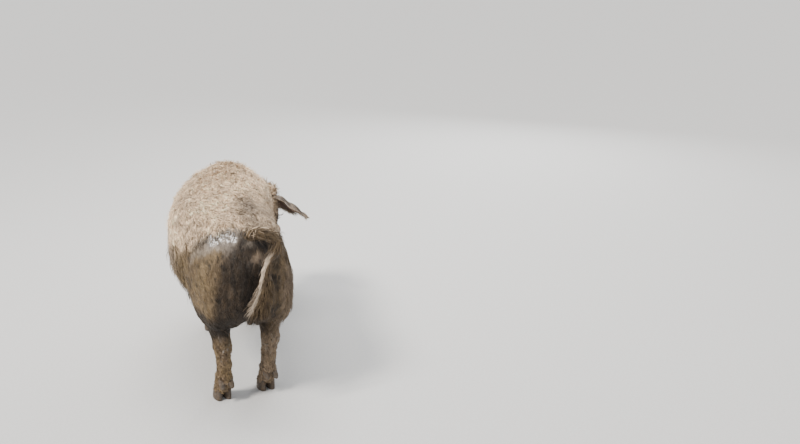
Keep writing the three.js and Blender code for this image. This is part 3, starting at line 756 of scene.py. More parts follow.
def claw_rings(x, y, way):
    """A claw of a cloven foot: flat below, pointed in front and straight on its inner side."""
    a = np.linspace(0, 2 * math.pi, 36, endpoint=False)
    narrow = 1 - 0.45 * np.maximum(np.cos(a), 0) ** 2
    inner = np.where(np.sin(a) * way < 0, 0.9, 1.0)
    rings = []
    for z, length, width, shift in CLAW:
        ripple = 1 + 0.012 * math.sin(z * 0.9)
        ring_x = x + shift + np.cos(a) * length * ripple
        ring_y = y + np.sin(a) * width * narrow * inner * ripple
        rings.append(np.stack([ring_x, ring_y, np.full(36, float(z))], 1))
    return rings


def dewclaw_rings(start, end):
    along = unit(end - start)
    up = np.array([-along[2], 0, along[0]])
    a = np.linspace(0, 2 * math.pi, 20, endpoint=False)
    return [start + (end - start) * share + np.outer(np.cos(a) * radius * 0.82, up)
            + np.outer(np.sin(a) * radius, SIDE) for share, radius in DEWCLAW]


def horn_objects():
    """Every claw and dewclaw, each in place of its solid."""
    made = []
    for leg in LEGS:
        fetlock, coronet = leg["joints"][-2], leg["joints"][-1]
        mirror = np.array([1, leg["side"], 1])
        for label, way in (("inner", -1), ("outer", 1)):
            start = np.array([fetlock[0] - 12, fetlock[1] + way * 15, 100.0])
            end = np.array([fetlock[0] - 44, fetlock[1] + way * 19, 67.0])
            for kind, rings in (("claw", claw_rings(coronet[0] + 6, coronet[1] + way * 18, way)),
                                ("dewclaw", dewclaw_rings(start, end))):
                points, quads = loft([ring * mirror for ring in rings])
                name = f"{kind}_{leg['name']}_{label}"
                horn = mesh_object("horn_" + name, bent(points), quads)
                fix_normals(horn)
                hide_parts(name)
                made.append(horn)
    return made


# ---- colours
DRY = vec(0.88, 0.675, 0.465)
DUST = vec(0.60, 0.46, 0.325)
SHADE = vec(0.30, 0.235, 0.175)
OLIVE = vec(0.148, 0.103, 0.055)
OCHRE = vec(0.192, 0.136, 0.070)
WET_MUD = vec(0.066, 0.045, 0.027)
DARK_MUD_AND_SHADE = vec(0.017, 0.0115, 0.0075)
PAINTED_SHEEN_GREY = vec(0.30, 0.262, 0.225)
TAIL_HIGHLIGHT = vec(0.43, 0.35, 0.27)
GLINT = (0.84, 0.82, 0.80)  # for the shader, the rest are painted
FACE_DUST = vec(0.54, 0.43, 0.32)
DARK_SKIN_AND_SHADE = vec(0.050, 0.038, 0.031)
DISC = vec(0.33, 0.225, 0.175)
STRAW = vec(0.25, 0.19, 0.135)


def mixed(a, b, share):
    """From a to b by each point's share; either is one colour or a colour for each point."""
    share = np.clip(share, 0, 1)[:, None]
    return a * (1 - share) + b * share


def layered(colour, *layers):
    """Colours laid over a first one, each with how much it covers."""
    for other, share in layers:
        colour = mixed(colour, other, share)
    return colour


def spot(p, centre, radii):
    return np.exp(-(((p - vec(*centre)) / vec(*radii)) ** 2).sum(1))


def paint_dry(p, n):
    """Dry, dusty wool, palest on the back: painted shade where it faces down, dust and painted
    shade on its right.
    """
    x, y, z = p.T
    along = x + 330
    # a darker patch along the back
    dark_patch = np.exp(-(along / 140) ** 2 - ((y + 72 + 0.3 * along) / 44) ** 2) * smooth(z, 600, 680)
    # painted shade, with some dust, on the right of the croup and down the right side
    croup_shade_and_dust = smooth(-x, 380, 470) * smooth(-y, -10, 30)
    forward = 90 * smooth(x, -400, 0)
    side = smooth(-y, 80 + forward, 130 + forward) * (1 - smooth(x, 300, 430))
    return layered(
        DRY,
        (DUST, 0.26 + 0.46 * noise(p, 150, 21) + 0.48 * noise(p, 42, 22)),
        # painted shade where the wool faces down, with darker tone at random
        (SHADE, 0.5 * smooth(-n[:, 2], -0.2, 0.6) + 0.20 * noise(p, 30, 33)
         + 0.16 * noise(p, 11, 39)),
        (SHADE * 0.75, (1.15 + 0.35 * noise(p, 22, 48)) * dark_patch),
        # painted shade with some dust on the right side and croup
        (SHADE * 0.9, 0.5 * np.maximum(croup_shade_and_dust, 1.2 * side)),
    )


def paint_mud(p):
    """Wet mud on the hams and the flanks in upright streaks; painted shade in the cleft and under
    the tail.
    """
    x, y, z = p.T
    streak = noise(p * vec(1, 1, 0.2), 24, 25)
    patch = noise(p, 110, 26)
    inner = y - np.interp(z, (440, 510, 570, 640), (124, 114, 98, 72))
    clean = 0.48 * smooth(inner, -10, 48) + 0.30 * smooth(-y, 70, 120)
    cleft = np.exp(-((y - 34) / 28) ** 2) * smooth(-x, 490, 540) * smooth(z, 320, 380)
    edge = smooth(-y, 92, 126) * smooth(0.7 + 0.5 * streak, 0.2, 0.8)
    hams = layered(
        WET_MUD,
        (OLIVE, smooth(inner, 0, 54) * 0.95 + 0.12 * patch + 0.9 * smooth(-y, 40, 90)),
        (OCHRE, smooth(inner, 8, 70)
         * smooth(0.5 + 0.5 * noise(p, 95, 27) + 0.3 * streak, 0.2, 0.85)),
        (DARK_MUD_AND_SHADE, 0.6 + 0.26 * streak + 0.2 * patch + 0.2 * noise(p, 15, 50) - 1.15 * clean),
        # painted shade down the cleft between the hams
        (DARK_MUD_AND_SHADE, 0.95 * cleft * (1 - 0.5 * smooth(z, 570, 620))),
        # painted shade in the hollow under the tail, paler skin below it, a painted sheen beside it
        (DARK_MUD_AND_SHADE * 0.6, 1.2 * spot(p, (-588, -30, 646), (60, 44, 17))),
        (STRAW, 0.85 * spot(p, (-570, -15, 606), (60, 20, 22))),
        (PAINTED_SHEEN_GREY, 0.5 * spot(p, (-550, 2, 661), (60, 20, 13))),
        (STRAW, 0.75 * edge * smooth(600 - z, 0, 120) * smooth(-x, 400, 480)),
        # darker towards the bottom of the left ham
        (DARK_MUD_AND_SHADE, 0.8 * smooth(410 - z, 0, 50) * smooth(y, 40, 80)),
    )
    flank = layered(
        SHADE,
        (OLIVE, 0.30 + 0.5 * noise(p, 80, 28) + 0.2 * streak),
        (WET_MUD, 0.7 * smooth(430 - z, 0, 120)),
    )
    return mixed(flank, hams, smooth(-x, 170, 270))


def paint_face(p):
    """A dusty stripe down the face, dark round the eyes and on the cheeks, and a dull pink disc."""
    mirrored = to_left(p)
    q = to_head(mirrored)
    u, v, w = q.T
    dust = mixed(FACE_DUST, SHADE, 0.2 + 0.4 * noise(p, 46, 30) + 0.25 * noise(p, 17, 34))
    edge = 58 + 16 * smooth(u, 110, 210) + 14 * noise(p, 60, 47)
    stripe = smooth(edge - v, -14, 16) * smooth(w, -46, -8)
    ring = np.exp(-(np.maximum(np.linalg.norm(mirrored - EYE_AT, axis=1) - 19, 0) / 15) ** 2)
    chin = smooth(-w, 52, 84) * smooth(u, 0, 100)
    colour = layered(
        DARK_SKIN_AND_SHADE * 1.7,
        (SHADE * 0.8, 0.35 + 0.5 * noise(p, 38, 45) + 0.2 * noise(p, 12, 46)),
        (dust, np.maximum(stripe, 0.75 * smooth(-u, -10, 60))),
        (OCHRE * 1.9, 0.4 * stripe * smooth(u, 120, 190)),
        (DARK_SKIN_AND_SHADE, 0.92 * ring),
        (mixed(DISC, SHADE * 0.7, 0.3 + 0.5 * noise(p, 20, 31)), smooth(u, 222, 244)),
        # painted shade in the creases over the snout
        (DARK_SKIN_AND_SHADE, 0.6 * smooth(-wrinkles(u, v, w), 0.1, 0.9)),
        (WET_MUD * 1.5, 0.75 * chin),
        # painted shade along the mouth
        (DARK_SKIN_AND_SHADE * 0.5, np.exp(-((MOUTH_GROOVE(mirrored) + 1) / 3.5) ** 2) * (u > 60)),
        # painted shade in the nostrils
        (DARK_SKIN_AND_SHADE * 0.3, smooth(1.5 - nostril(q), 0, 3) * (u > 200)),
    )
    return colour, 0.1 + 0.4 * smooth(u, 238, 247) + 0.3 * chin + 0.35 * ring


def paint(p, n):
    """Colour and wetness at points of the body that face along n: skin and coat share them."""
    p = np.ascontiguousarray(p, np.float32)
    x, y, z = p.T
    flank, below = flank_share(p), mud_depth(p)
    mud = smooth(below, -8 - 26 * flank, 14 + 34 * flank)
    band = wet_sheen_band(p, below)
    # the soaked part of the strip, where the shader paints highlight specks
    glints = band * (1 - smooth(below, 34, 70)) * (1 - smooth(y, 124, 160)) * smooth(y, 10, 50)
    leg = smooth(300 - z, 0, 60)
    face = face_share(p) * ((p - SKULL) @ FACE > -115)
    hanging = smooth(24 - TAIL(p), 0, 8) * smooth(-x, 594, 606)
    tail = np.maximum(hanging, (TAIL(p) < 7) * smooth(-x, 505, 535))
    legs = layered(
        WET_MUD * 1.9,
        (OCHRE * 1.22, 0.5 + 0.5 * noise(p * vec(1, 1, 0.4), 40, 29) + 0.3 * noise(p, 13, 35)),
        (STRAW, 0.55 * smooth(-y, 0, 40) * smooth(-x, 200, 300)),
        # painted sheen in patches on the shanks
        (PAINTED_SHEEN_GREY, 0.8 * smooth(noise(p, 24, 49), 0.45, 0.9) * smooth(z, 150, 210)),
        (DUST * 0.62, 0.8 * clods(p)),
    )
    hair = layered(
        WET_MUD * 1.3,
        (OLIVE, 0.4 + 0.5 * noise(p, 26, 38)),
        # painted highlight down the left edge of the tail
        (TAIL_HIGHLIGHT * (1 + 0.3 * noise(p, 11, 32))[:, None], tail_lit_edge(p)),
    )
    of_face, face_wet = paint_face(p)
    colour = layered(
        paint_dry(p, n),
        (paint_mud(p), mud),
        # painted grey sheen along the glossy strip
        (PAINTED_SHEEN_GREY * (1 + 0.25 * noise(p, 20, 37))[:, None], 0.92 * band),
        (legs, leg),
        (of_face, face),
        (hair, tail),
    )
    wet = mud * (0.2 + 0.3 * smooth(-x, 150, 260)) + 0.5 * glints
    wet = wet * (1 - leg) + (0.50 + 0.3 * noise(p, 30, 36)) * leg
    wet = wet * (1 - face) + face_wet * face
    return colour.astype(np.float32), clamp(wet, 0, 1).astype(np.float32)


# ---- the coat
ATLAS = 0.003  # width of a tuft's patch on the unwrap
ROOTED = 1.5  # how far below the skin a tuft starts


def lie(p, n):
    """The way hair lies: from the snout to the tail and down the sides, the hams and the legs."""
    x, y, z = p.T
    way = np.stack([-np.ones(len(p)), 0 * x, -0.30 - 0.5 * np.abs(n[:, 1])], 1)
    way[:, 1] += 0.32 * noise(p, 150, 51) + 0.16 * noise(p, 45, 52)
    way = mixed(way, vec(-0.25, 0, -1), smooth(-x, 440, 560))
    parting = np.sign(y) * np.minimum(np.abs(y) / 60, 1)
    way[:, 1] += 0.35 * parting * smooth(-x, 380, 520) * smooth(n[:, 2], 0.2, 0.8)
    way = mixed(way, vec(-0.15, 0, -1), smooth(330 - z, 0, 90))
    face = face_share(p) * ((p - SKULL) @ FACE > -110)
    way = mixed(way, -FACE - 0.25 * CROWN * (n @ CROWN < 0.2)[:, None], face)
    return unit(way - n * dot(way, n)[:, None])


def unwrap(p):
    """A place on an unwrap of the body: along it and round it, or down and round each leg."""
    u = (p[:, 0] + 720) / 1680
    axis = np.interp(p[:, 0], [-560, 360, 520, 860], [555, 535, 505, 330])
    v = np.arctan2(p[:, 1], p[:, 2] - axis) / (2 * math.pi) + 0.5
    leg = p[:, 2] < 280
    hind = p[:, 0] < -100
    middle = np.where(hind, HIND - 25, FORE)
    round_leg = np.arctan2(np.abs(p[:, 1]) - 96, p[:, 0] - middle) / (2 * math.pi) + 0.5
    number = hind * 2 + (p[:, 1] > 0)
    u = np.where(leg, (number + round_leg) / 4, u)
    return np.stack([u, np.where(leg, p[:, 2] / 300, v)], 1)


def roots_on(points, quads, density, count):
    """Places spread evenly over the skin where density says."""
    a, b, c, d = (points[quads[:, k]] for k in range(4))
    area = np.linalg.norm(np.cross(c - a, d - b), axis=1) / 2
    weight = np.cumsum(area * density((a + b + c + d) / 4))
    at = (np.arange(count) + DRAW.random(count)) / count * weight[-1]
    chosen = np.minimum(np.searchsorted(weight, at), len(quads) - 1)
    s, t = DRAW.random((2, count, 1))
    near = a[chosen] * (1 - s) + b[chosen] * s
    far = d[chosen] * (1 - s) + c[chosen] * s
    return (near * (1 - t) + far * t).astype(np.float32)


def gathered(roots, per_lock):
    """The number and the place of the lock of each root, and how many locks there are."""
    heads = roots[DRAW.permutation(len(roots))[::per_lock]]
    tree = kdtree.KDTree(len(heads))
    for i, head_at in enumerate(heads):
        tree.insert(head_at, i)
    tree.balance()
    number = np.array([tree.find(root)[1] for root in roots])
    return number, heads[number], len(heads)


def tuft_mesh(path, normals, width, thick, profile):
    """Three-sided tapered tufts: rings of three points along each path, closed at root and tip."""
    count, sections = path.shape[0], path.shape[1] - 1
    along = np.empty_like(path[:, :-1])
    along[:, 0] = path[:, 1] - path[:, 0]
    along[:, 1:] = path[:, 2:] - path[:, :-2]
    along = unit(along)
    side = unit(np.cross(along, normals[:, None]))
    up = np.cross(side, along)
    half = (width[:, None] * np.asarray(profile)[None] / 2)[..., None]
    high = (thick[:, None] * np.asarray(profile)[None])[..., None]
    middle = path[:, :-1]
    rings = np.stack([middle - side * half, middle + side * half, middle + up * high], 2)
    points = np.concatenate([rings.reshape(count, -1, 3), path[:, -1:]], 1)
    tip = sections * 3
    ring = np.array([(0, 1, 4), (0, 4, 3), (1, 2, 5), (1, 5, 4), (2, 0, 3), (2, 3, 5)])
    ends = [(tip - 3, tip - 2, tip), (tip - 2, tip - 1, tip), (tip - 1, tip - 3, tip), (0, 2, 1)]
    faces = np.concatenate([ring + 3 * k for k in range(sections - 1)] + [ends])
    faces = (faces + (np.arange(count) * (tip + 1))[:, None, None]).reshape(-1, 3)
    share = np.append(np.repeat(np.arange(sections) / sections, 3), 1.0)
    across = np.append(np.tile([0, 1, 0.5], sections), 0.5)
    return points, faces, share, across


def coat_object(name, roots, normals, path, width, thick, profile, tint, wet, atlas,
                painted_root_shade_tip_light=(0.75, 1.1)):
    """One piece of the coat; its tint is darkened by painted shade at each root and lightens to the
    tip.
    """
    points, faces, share, across = tuft_mesh(path, normals, width, thick, profile)
    made = mesh_object(name, bent(points.reshape(-1, 3)), faces)
    shade = (painted_root_shade_tip_light[0] + (painted_root_shade_tip_light[1] - painted_root_shade_tip_light[0]) * share)[None]
    shade = shade * DRAW.normal(1, 0.1, (len(roots), 1))
    give(made, "tint", clamp(tint[:, None] * shade[..., None], 0, 0.95).reshape(-1, 3))
    give(made, "wet", np.repeat(wet, len(share)))
    uv = made.data.uv_layers.new(name="OFBake")
    local = np.stack([share - 0.5, across - 0.5], 1) * ATLAS * [1, 0.6]
    at = (atlas[:, None] + local[None]).reshape(-1, 2).astype(np.float32)
    uv.data.foreach_set("uv", at[faces.ravel()].ravel())
    return made


def grow(name, roots, per_lock, length, width, thick, lift, profile, sway, turns=0.8, pull=0.6,
         spread=0.25, droop=0.75, swing=lie, parts=1, follow=True, wild=0.0, fleck=0.1,
         painted_root_shade_tip_light=(0.72, 1.12), straw=0.0):
    """Tufts that gather in locks, follow the skin and curl, split into parts along the body."""
    count, sections = len(roots), len(profile)
    normals = unit(slope_of_skin(roots)).astype(np.float32)
    number, centres, locks = gathered(roots, per_lock)

    def varied(by_lock, by_tuft):
        return DRAW.normal(0, by_lock, locks)[number] + DRAW.normal(0, by_tuft, count)

    way = swing(roots, normals)
    turn = varied(spread, spread * 0.35)[:, None]
    way = unit(way * np.cos(turn) + np.cross(normals, way) * np.sin(turn))
    side = np.cross(normals, way)
    reach_out = np.clip(length * (1 + varied(0.132, 0.14)), length * 0.45, length * 1.6)
    height = lift * clamp(1 + 0.30 * noise(roots, 75, 41) + varied(0.22, 0.22), 0.25, 1.7)
    if wild:
        height = np.where(DRAW.random(count) < wild, height * 1.5 + 4, height)
    phase = (DRAW.random(locks) * 6.28)[number] + DRAW.normal(0, 0.35, count)
    toward = centres - roots
    toward -= normals * dot(toward, normals)[:, None]
    toward *= np.minimum(1, length * 0.4 / (np.linalg.norm(toward, axis=1, keepdims=True) + 1e-6))
    path = np.empty((count, sections + 1, 3), np.float32)
    path[:, 0] = roots - normals * ROOTED
    for k in range(1, sections + 1):
        t = k / sections
        wave = phase + turns * 2 * math.pi * t
        at = roots + way * (reach_out * t)[:, None] + toward * (pull * t ** 1.1)
        at = at + side * (sway * math.sin(min(1, t * 1.6) * math.pi / 2) * np.sin(wave))[:, None]
        goal = -ROOTED + (height + ROOTED) * (t * (2 - t)) ** 0.7 * (1 - (1 - droop) * t ** 2)
        goal = goal + 0.55 * sway * t * np.cos(wave)
        if follow:
            goal = goal - skin(at)
        path[:, k] = at + normals * goal[:, None]
    tint, wet = paint(path[:, (sections + 1) // 2], normals)
    tint = mixed(tint, STRAW, np.full(count, straw))
    tint *= clamp(DRAW.normal(1, fleck, locks), 0.45, 1.45)[number][:, None]
    size = (1 + 0.2 * DRAW.normal(size=count)).clip(0.5, 1.6)
    order = np.argsort(roots[:, 0] + DRAW.normal(0, 6, count))
    made = []
    for i, part in enumerate(np.array_split(order, parts)):
        label = name if parts == 1 else f"{name}_{i + 1}"
        made.append(coat_object(
            label, roots[part], normals[part], path[part], width * size[part], thick * size[part],
            profile, tint[part], wet[part], unwrap(roots[part]), painted_root_shade_tip_light))
    return made


def swing_down(p, n):
    """Long locks hang straight down off the surface."""
    way = vec(-0.2, 0, -1)
    return unit(way - n * (n @ way)[:, None] * 0.7)


def tail_place(p):
    """The nearest knot of the tail, and the way along the tail there."""
    near = np.argmin(((p[:, None] - TAIL_KNOTS[None, :-1]) ** 2).sum(2), 1)
    return near, unit(TAIL_KNOTS[near + 1] - TAIL_KNOTS[near])


def tail_way(p, n):
    """Along the tail towards its tip, spreading a little."""
    spread = smooth(600 - p[:, 2], 0, 100)[:, None]
    way = tail_place(p)[1] + n * (0.12 + 0.2 * spread)
    return unit(way + spread * vec(0, -0.32, 0) * (n[:, 1:2] < 0.3))


def on_tail(p):
    return (TAIL(p) < 3) & (p[:, 0] < -528)


def tail_lit_edge(p):
    """The bare left edge of the tail, painted pale as a highlight, which narrows towards the tip.
    """
    near, along = tail_place(p)
    offset = dot(p - TAIL_KNOTS[near], np.cross(along, vec(-1, 0, 0))) / TAIL_RADII[near]
    inner = 0.2 + 0.4 * smooth(590 - p[:, 2], 0, 90)
    on = smooth(offset, inner, inner + 0.3) * (1 - smooth(offset, 1.6, 2.2))
    return on * smooth(-p[:, 0], 600, 612) * smooth(652 - p[:, 2], 0, 20)


def wool_density(p):
    return wool_at(p) * (TAIL(p) > 10) * (1 + 0.5 * smooth(p[:, 2], 560, 700))


def top_density(p):
    return wool_at(p) * (0.6 + smooth(p[:, 2], 560, 700))


def crest_density(p):
    """Longer hair along the neck and on the cheeks."""
    x, y, z = p.T
    ridge = np.exp(-(y / 46) ** 2) * smooth(x, 20, 200) * smooth(z, 560, 610)
    cheeks = face_share(p) * smooth(40 - (p - SKULL) @ FACE, 0, 90) * 0.9
    return ridge * (1 - face_share(p)) + cheeks * (np.linalg.norm(p - EYE_AT, axis=1) > 30)


def ham_density(p):
    """Hair under the mud, thin in the glossy strip."""
    below = mud_line(p) - p[:, 2]
    shown = 1 - 0.8 * wet_sheen_band(p, mud_depth(p))
    return plastered(p) * smooth(p[:, 2], 230, 300) * (~on_tail(p)) * smooth(below, -60, 0) * shown


def leg_density(p):
    return smooth(300 - p[:, 2], 0, 60) * (p[:, 2] > 30) * (1 - 0.6 * clods(p))


def face_density(p):
    u = to_head(p)[:, 0]
    open_eye = np.linalg.norm(to_left(p) - EYE_AT, axis=1) > 18.5
    return face_share(p) * (u < 226) * open_eye * (1 - 0.5 * smooth(u, 170, 220))


def tail_density(p):
    bare = 0.95 * smooth(tail_lit_edge(p), 0.2, 0.5)
    return on_tail(p) * (0.2 + 1.6 * smooth(600 - p[:, 2], 0, 120)) * (1 - bare)


def fringe_density(p):
    """Along the outer and lower edge of the right ham."""
    x, y, z = p.T
    edge = smooth(np.abs(y), 110, 160) * smooth(-x, 330, 430) * smooth(z, 310, 340)
    low = smooth(np.abs(y), 60, 120) * smooth(420 - z, 0, 60) * smooth(z, 300, 330)
    right = (y < 0).astype(float)
    return right * (2 * edge * smooth(560 - z, 0, 80) + 0.6 * low) + 0.02 * low


LAYERS = (  # name, where it grows, how many tufts, and what grow() makes of them
    ("wool", wool_density, 45000, dict(
        per_lock=7, length=34, width=3.1, thick=1.4, lift=7.0, profile=(1, 0.9, 0.5), sway=3.4,
        turns=1.0, pull=0.75, spread=0.26, droop=0.45, parts=6, wild=0.03, fleck=0.19,
        painted_root_shade_tip_light=(0.72, 1.18))),
    ("wool_top", top_density, 6000, dict(
        per_lock=5, length=46, width=2.4, thick=1.1, lift=10.0, profile=(1, 0.9, 0.7, 0.4),
        sway=4.0, pull=0.9, spread=0.3, wild=0.3, fleck=0.16, painted_root_shade_tip_light=(0.84, 1.18))),
    ("crest", crest_density, 3000, dict(
        per_lock=6, length=42, width=2.2, thick=1.1, lift=13.0, profile=(1, 0.9, 0.7, 0.4),
        sway=3.0, pull=0.8, spread=0.3, wild=0.2, fleck=0.14, painted_root_shade_tip_light=(0.75, 1.14))),
    ("ham_coat", ham_density, 12000, dict(
        per_lock=8, length=28, width=2.8, thick=1.0, lift=1.2, profile=(1, 0.85, 0.5), sway=1.0,
        pull=0.9, spread=0.12, droop=0.2, parts=2, fleck=0.34, painted_root_shade_tip_light=(0.78, 1.16))),
    ("leg_coat", leg_density, 7000, dict(
        per_lock=6, length=15, width=2.8, thick=1.2, lift=1.8, profile=(1, 0.8), sway=0.8,
        pull=0.8, spread=0.2, fleck=0.2, painted_root_shade_tip_light=(0.8, 1.15))),
    ("face_coat", face_density, 12000, dict(
        per_lock=5, length=12, width=1.5, thick=0.7, lift=1.6, profile=(1, 0.7), sway=0.3,
        pull=0.25, spread=0.16, fleck=0.12, painted_root_shade_tip_light=(0.85, 1.12))),
    ("tail_hair", tail_density, 2000, dict(
        per_lock=6, length=42, width=2.4, thick=1.1, lift=4.0, profile=(1, 0.95, 0.8, 0.5),
        sway=2.0, pull=0.5, spread=0.12, swing=tail_way, follow=False)),
    ("fringe", fringe_density, 1400, dict(
        per_lock=6, length=48, width=2.2, thick=1.1, lift=8.0, profile=(1, 0.9, 0.7, 0.4),
        sway=2.5, pull=0.8, swing=swing_down, droop=1.0, straw=0.5)),
)


def grow_all(points, quads):
    made = []
    for name, density, count, shape in LAYERS:
        made += grow(name, roots_on(points, quads, density, count), **shape)
    return made


def ear_coat(name, side):
    """Short hair over an ear and longer, pale hair on its rim."""
    rows, columns, count, sections = 90, 46, 3400, 3
    outer, inner = (ear_grid(side, rows, columns, depth).reshape(rows, columns, 3)
                    for depth in (0, 1))
    r = DRAW.uniform(4, rows - 4, count)
    c = DRAW.uniform(0.5, columns - 1.5, count)
    rim = DRAW.random(count) < 0.28
    on_rim = np.where(DRAW.random(count) < 0.5, 0.6, columns - 1.7) + DRAW.normal(0, 0.3, count)
    c = np.clip(np.where(rim, on_rim, c), 0.2, columns - 1.4)
    i, j = r.astype(int), c.astype(int)
    inside = (DRAW.random(count) < 0.25)[:, None]
    top, bottom = outer[i, j], inner[i, j]
    across = outer[i, j + 1] - top
    start = np.where(inside, bottom, top) + (outer[i + 1, j] - top) * (r - i)[:, None]
    start = start + across * (c - j)[:, None]
    normals = unit(np.where(inside, bottom - top, top - bottom))
    edge = np.where(c > columns / 2, 1, -1)[:, None] * unit(across)
    along = unit(outer[i + 3, j] - top)
    way = np.where(rim[:, None], unit(along * 0.75 + edge * 0.55), along)
    length = np.where(rim, 22, 14) * (1 + 0.2 * DRAW.normal(size=count))
    way = unit(way + np.cross(normals, way) * DRAW.normal(0, 0.22, count)[:, None])
    t = np.linspace(0, 1, sections + 1)[:, None]
    path = start[:, None] + way[:, None] * (length[:, None, None] * t)
    path = path + normals[:, None] * (2.6 * t * (1.4 - t) - 0.8)
    share = r / rows
    pale = 0.10 + 0.5 * smooth(noise(start.astype(np.float32), 60, 43), 0.0, 0.7)
    tint = mixed(DARK_SKIN_AND_SHADE * 1.5, DUST, np.where(rim, 0.6, pale) + smooth(share, 0.85, 1.0) * 0.6)
    width = np.where(rim, 1.6, 1.9)
    atlas = np.stack([0.02 + 0.42 * (c / columns) + (side < 0) * 0.5, share], 1)
    return coat_object(name, start, normals, path, width, width * 0.45, (1, 0.85, 0.5), tint,
                       np.full(count, 0.15), atlas)


def lashes(name, side):
    """Dark lashes along both lids, longer on the upper one."""
    mirror = np.array([1, side, 1])
    count = 26
    at = np.linspace(-11, 11, count) + DRAW.normal(0, 0.3, count)
    upper = np.arange(count) % 3 > 0
    arch = 1 - (at / LIDS["half"]) ** 2
    lift = np.where(upper, LIDS["upper"] * arch + 1.2, -LIDS["lower"] * arch - 1.2)
    out = np.sqrt(np.maximum((EYE["radius"] + 2.0) ** 2 - at ** 2 - lift ** 2, 4))
    base = EYE_AT + np.outer(at, EYE_ACROSS) + np.outer(lift, EYE_UP) + np.outer(out, EYE_OUT)
    way = EYE_OUT * 0.7 + EYE_UP * np.where(upper, 0.75, -0.6)[:, None]
    way = unit(way + EYE_ACROSS * (-0.3 + at / 22)[:, None])
    length = np.where(upper, 11, 5) * (1 + 0.12 * DRAW.normal(size=count))
    t = np.linspace(0, 1, 4)[:, None]
    path = base[:, None] + way[:, None] * (length[:, None, None] * t)
    path = path - CROWN * (1.2 * t * t * np.where(upper, 1, -0.5)[:, None, None])
    normals = np.repeat(EYE_UP[None], count, 0)
    tint = np.repeat(DARK_SKIN_AND_SHADE[None] * 1.3, count, 0)
    width = np.full(count, 0.5)
    atlas = np.stack([np.full(count, 0.95 + 0.02 * (side < 0)), 0.2 + (at + 12) / 40], 1)
    return coat_object(name, base * mirror, normals * mirror, path * mirror, width, width * 0.8,
                       (1, 0.9, 0.6), tint, np.full(count, 0.1), atlas)


# ---- materials
class Nodes:
    """A small helper that lays out one procedural material."""

    def __init__(self, name):
        self.material = bpy.data.materials.new(name)
        self.material.use_nodes = True
        self.tree = self.material.node_tree
        self.shader = self.tree.nodes["Principled BSDF"]
        self.place = self.add("TexCoord", "Object", {})

    def feed(self, node, inputs):
        for key, value in inputs.items():
            if isinstance(value, bpy.types.NodeSocket):
                self.tree.links.new(value, node.inputs[key])
            else:
                node.inputs[key].default_value = value

    def add(self, kind, output, inputs, **settings):
        """One output of a new node, with its inputs fed."""
        node = self.tree.nodes.new("ShaderNode" + kind)
        for key, value in settings.items():
            setattr(node, key, value)
        self.feed(node, inputs)
        return node.outputs[output]

    def attribute(self, name, output="Fac"):
        return self.add("Attribute", output, {}, attribute_name=name)

    def noise(self, scale, detail=4.0, stretch=None):
        place = self.place
        if stretch:
            place = self.add("Mapping", "Vector", {"Vector": place, "Scale": stretch})
        return self.add("TexNoise", "Fac", {
            "Vector": place, "Scale": scale, "Detail": detail, "Roughness": 0.6})

    def cells(self, scale):
        return self.add("TexVoronoi", "Distance", {"Vector": self.place, "Scale": scale})

    def span(self, value, a, b, c=0.0, d=1.0):
        return self.add("MapRange", "Result", {
            "Value": value, "From Min": a, "From Max": b, "To Min": c, "To Max": d})

    def math(self, operation, a, b):
        return self.add("Math", "Value", {0: a, 1: b}, operation=operation)

    def sum(self, a, b):
        return self.math("ADD", a, b)

    def mix(self, share, a, b, how="MIX"):
        a, b = ((*value, 1) if isinstance(value, tuple) else value for value in (a, b))
        return self.add("Mix", 2, {"Factor": share, 6: a, 7: b}, data_type="RGBA", blend_type=how)

    def times(self, a, b):
        return self.mix(1.0, a, b, "MULTIPLY")

    def bump(self, height, strength, distance):
        normal = self.add("Bump", "Normal", {
            "Strength": strength, "Distance": distance, "Height": height})
        self.feed(self.shader, {"Normal": normal})

    def finish(self, colour, roughness, **fixed):
        self.feed(self.shader, {"Base Color": colour, "Roughness": roughness})
        self.feed(self.shader, {key.replace("_", " "): value for key, value in fixed.items()})
        return self.material


def with_glints(n, colour, wet):
    """Painted highlights: bright specks mixed into the colour where a surface is soaked."""
    specks = n.span(n.noise(150, 2), 0.50, 0.58)
    return n.mix(n.math("MULTIPLY", specks, n.span(wet, 0.8, 0.95)), colour, GLINT)


def skin_material():
    n = Nodes("muddy_skin")
    grain, blots = n.noise(420, 5), n.noise(60)
    streaks, pores = n.noise(90, 4, (1, 1, 0.22)), n.cells(330)
    wet = n.attribute("wet")
    dark = n.mix(n.span(blots, 0.35, 0.65), (0.62, 0.58, 0.55), (1.15, 1.12, 1.08))
    colour = n.times(n.attribute("tint", "Color"), dark)
    colour = n.mix(n.span(grain, 0.45, 0.7, 0, 0.5), colour, n.times(colour, (0.55, 0.5, 0.45)))
    n.bump(n.sum(n.sum(grain, streaks), n.span(pores, 0, 0.4, 0, 0.6)), 0.7, 0.0035)
    rough = n.sum(n.span(wet, 0, 1, 0.82, 0.36), n.span(grain, 0.3, 0.7, -0.08, 0.1))
    return n.finish(with_glints(n, colour, wet), rough, Specular_IOR_Level=0.3)


def coat_material():
    n = Nodes("woolly_coat")
    fine, clots = n.noise(700, 3), n.noise(120)
    wet = n.attribute("wet")
    shade = n.mix(n.span(fine, 0.3, 0.7), (0.8, 0.78, 0.76), (1.12, 1.12, 1.12))
    colour = n.times(n.attribute("tint", "Color"), shade)
    colour = n.mix(n.span(clots, 0.5, 0.72, 0, 0.7), colour, n.times(colour, (0.66, 0.6, 0.54)))
    n.bump(n.sum(fine, clots), 0.5, 0.0012)
    rough = n.sum(n.span(wet, 0, 1, 0.68, 0.34), n.span(fine, 0.3, 0.7, -0.06, 0.06))
    return n.finish(with_glints(n, colour, wet), rough, Specular_IOR_Level=0.3)


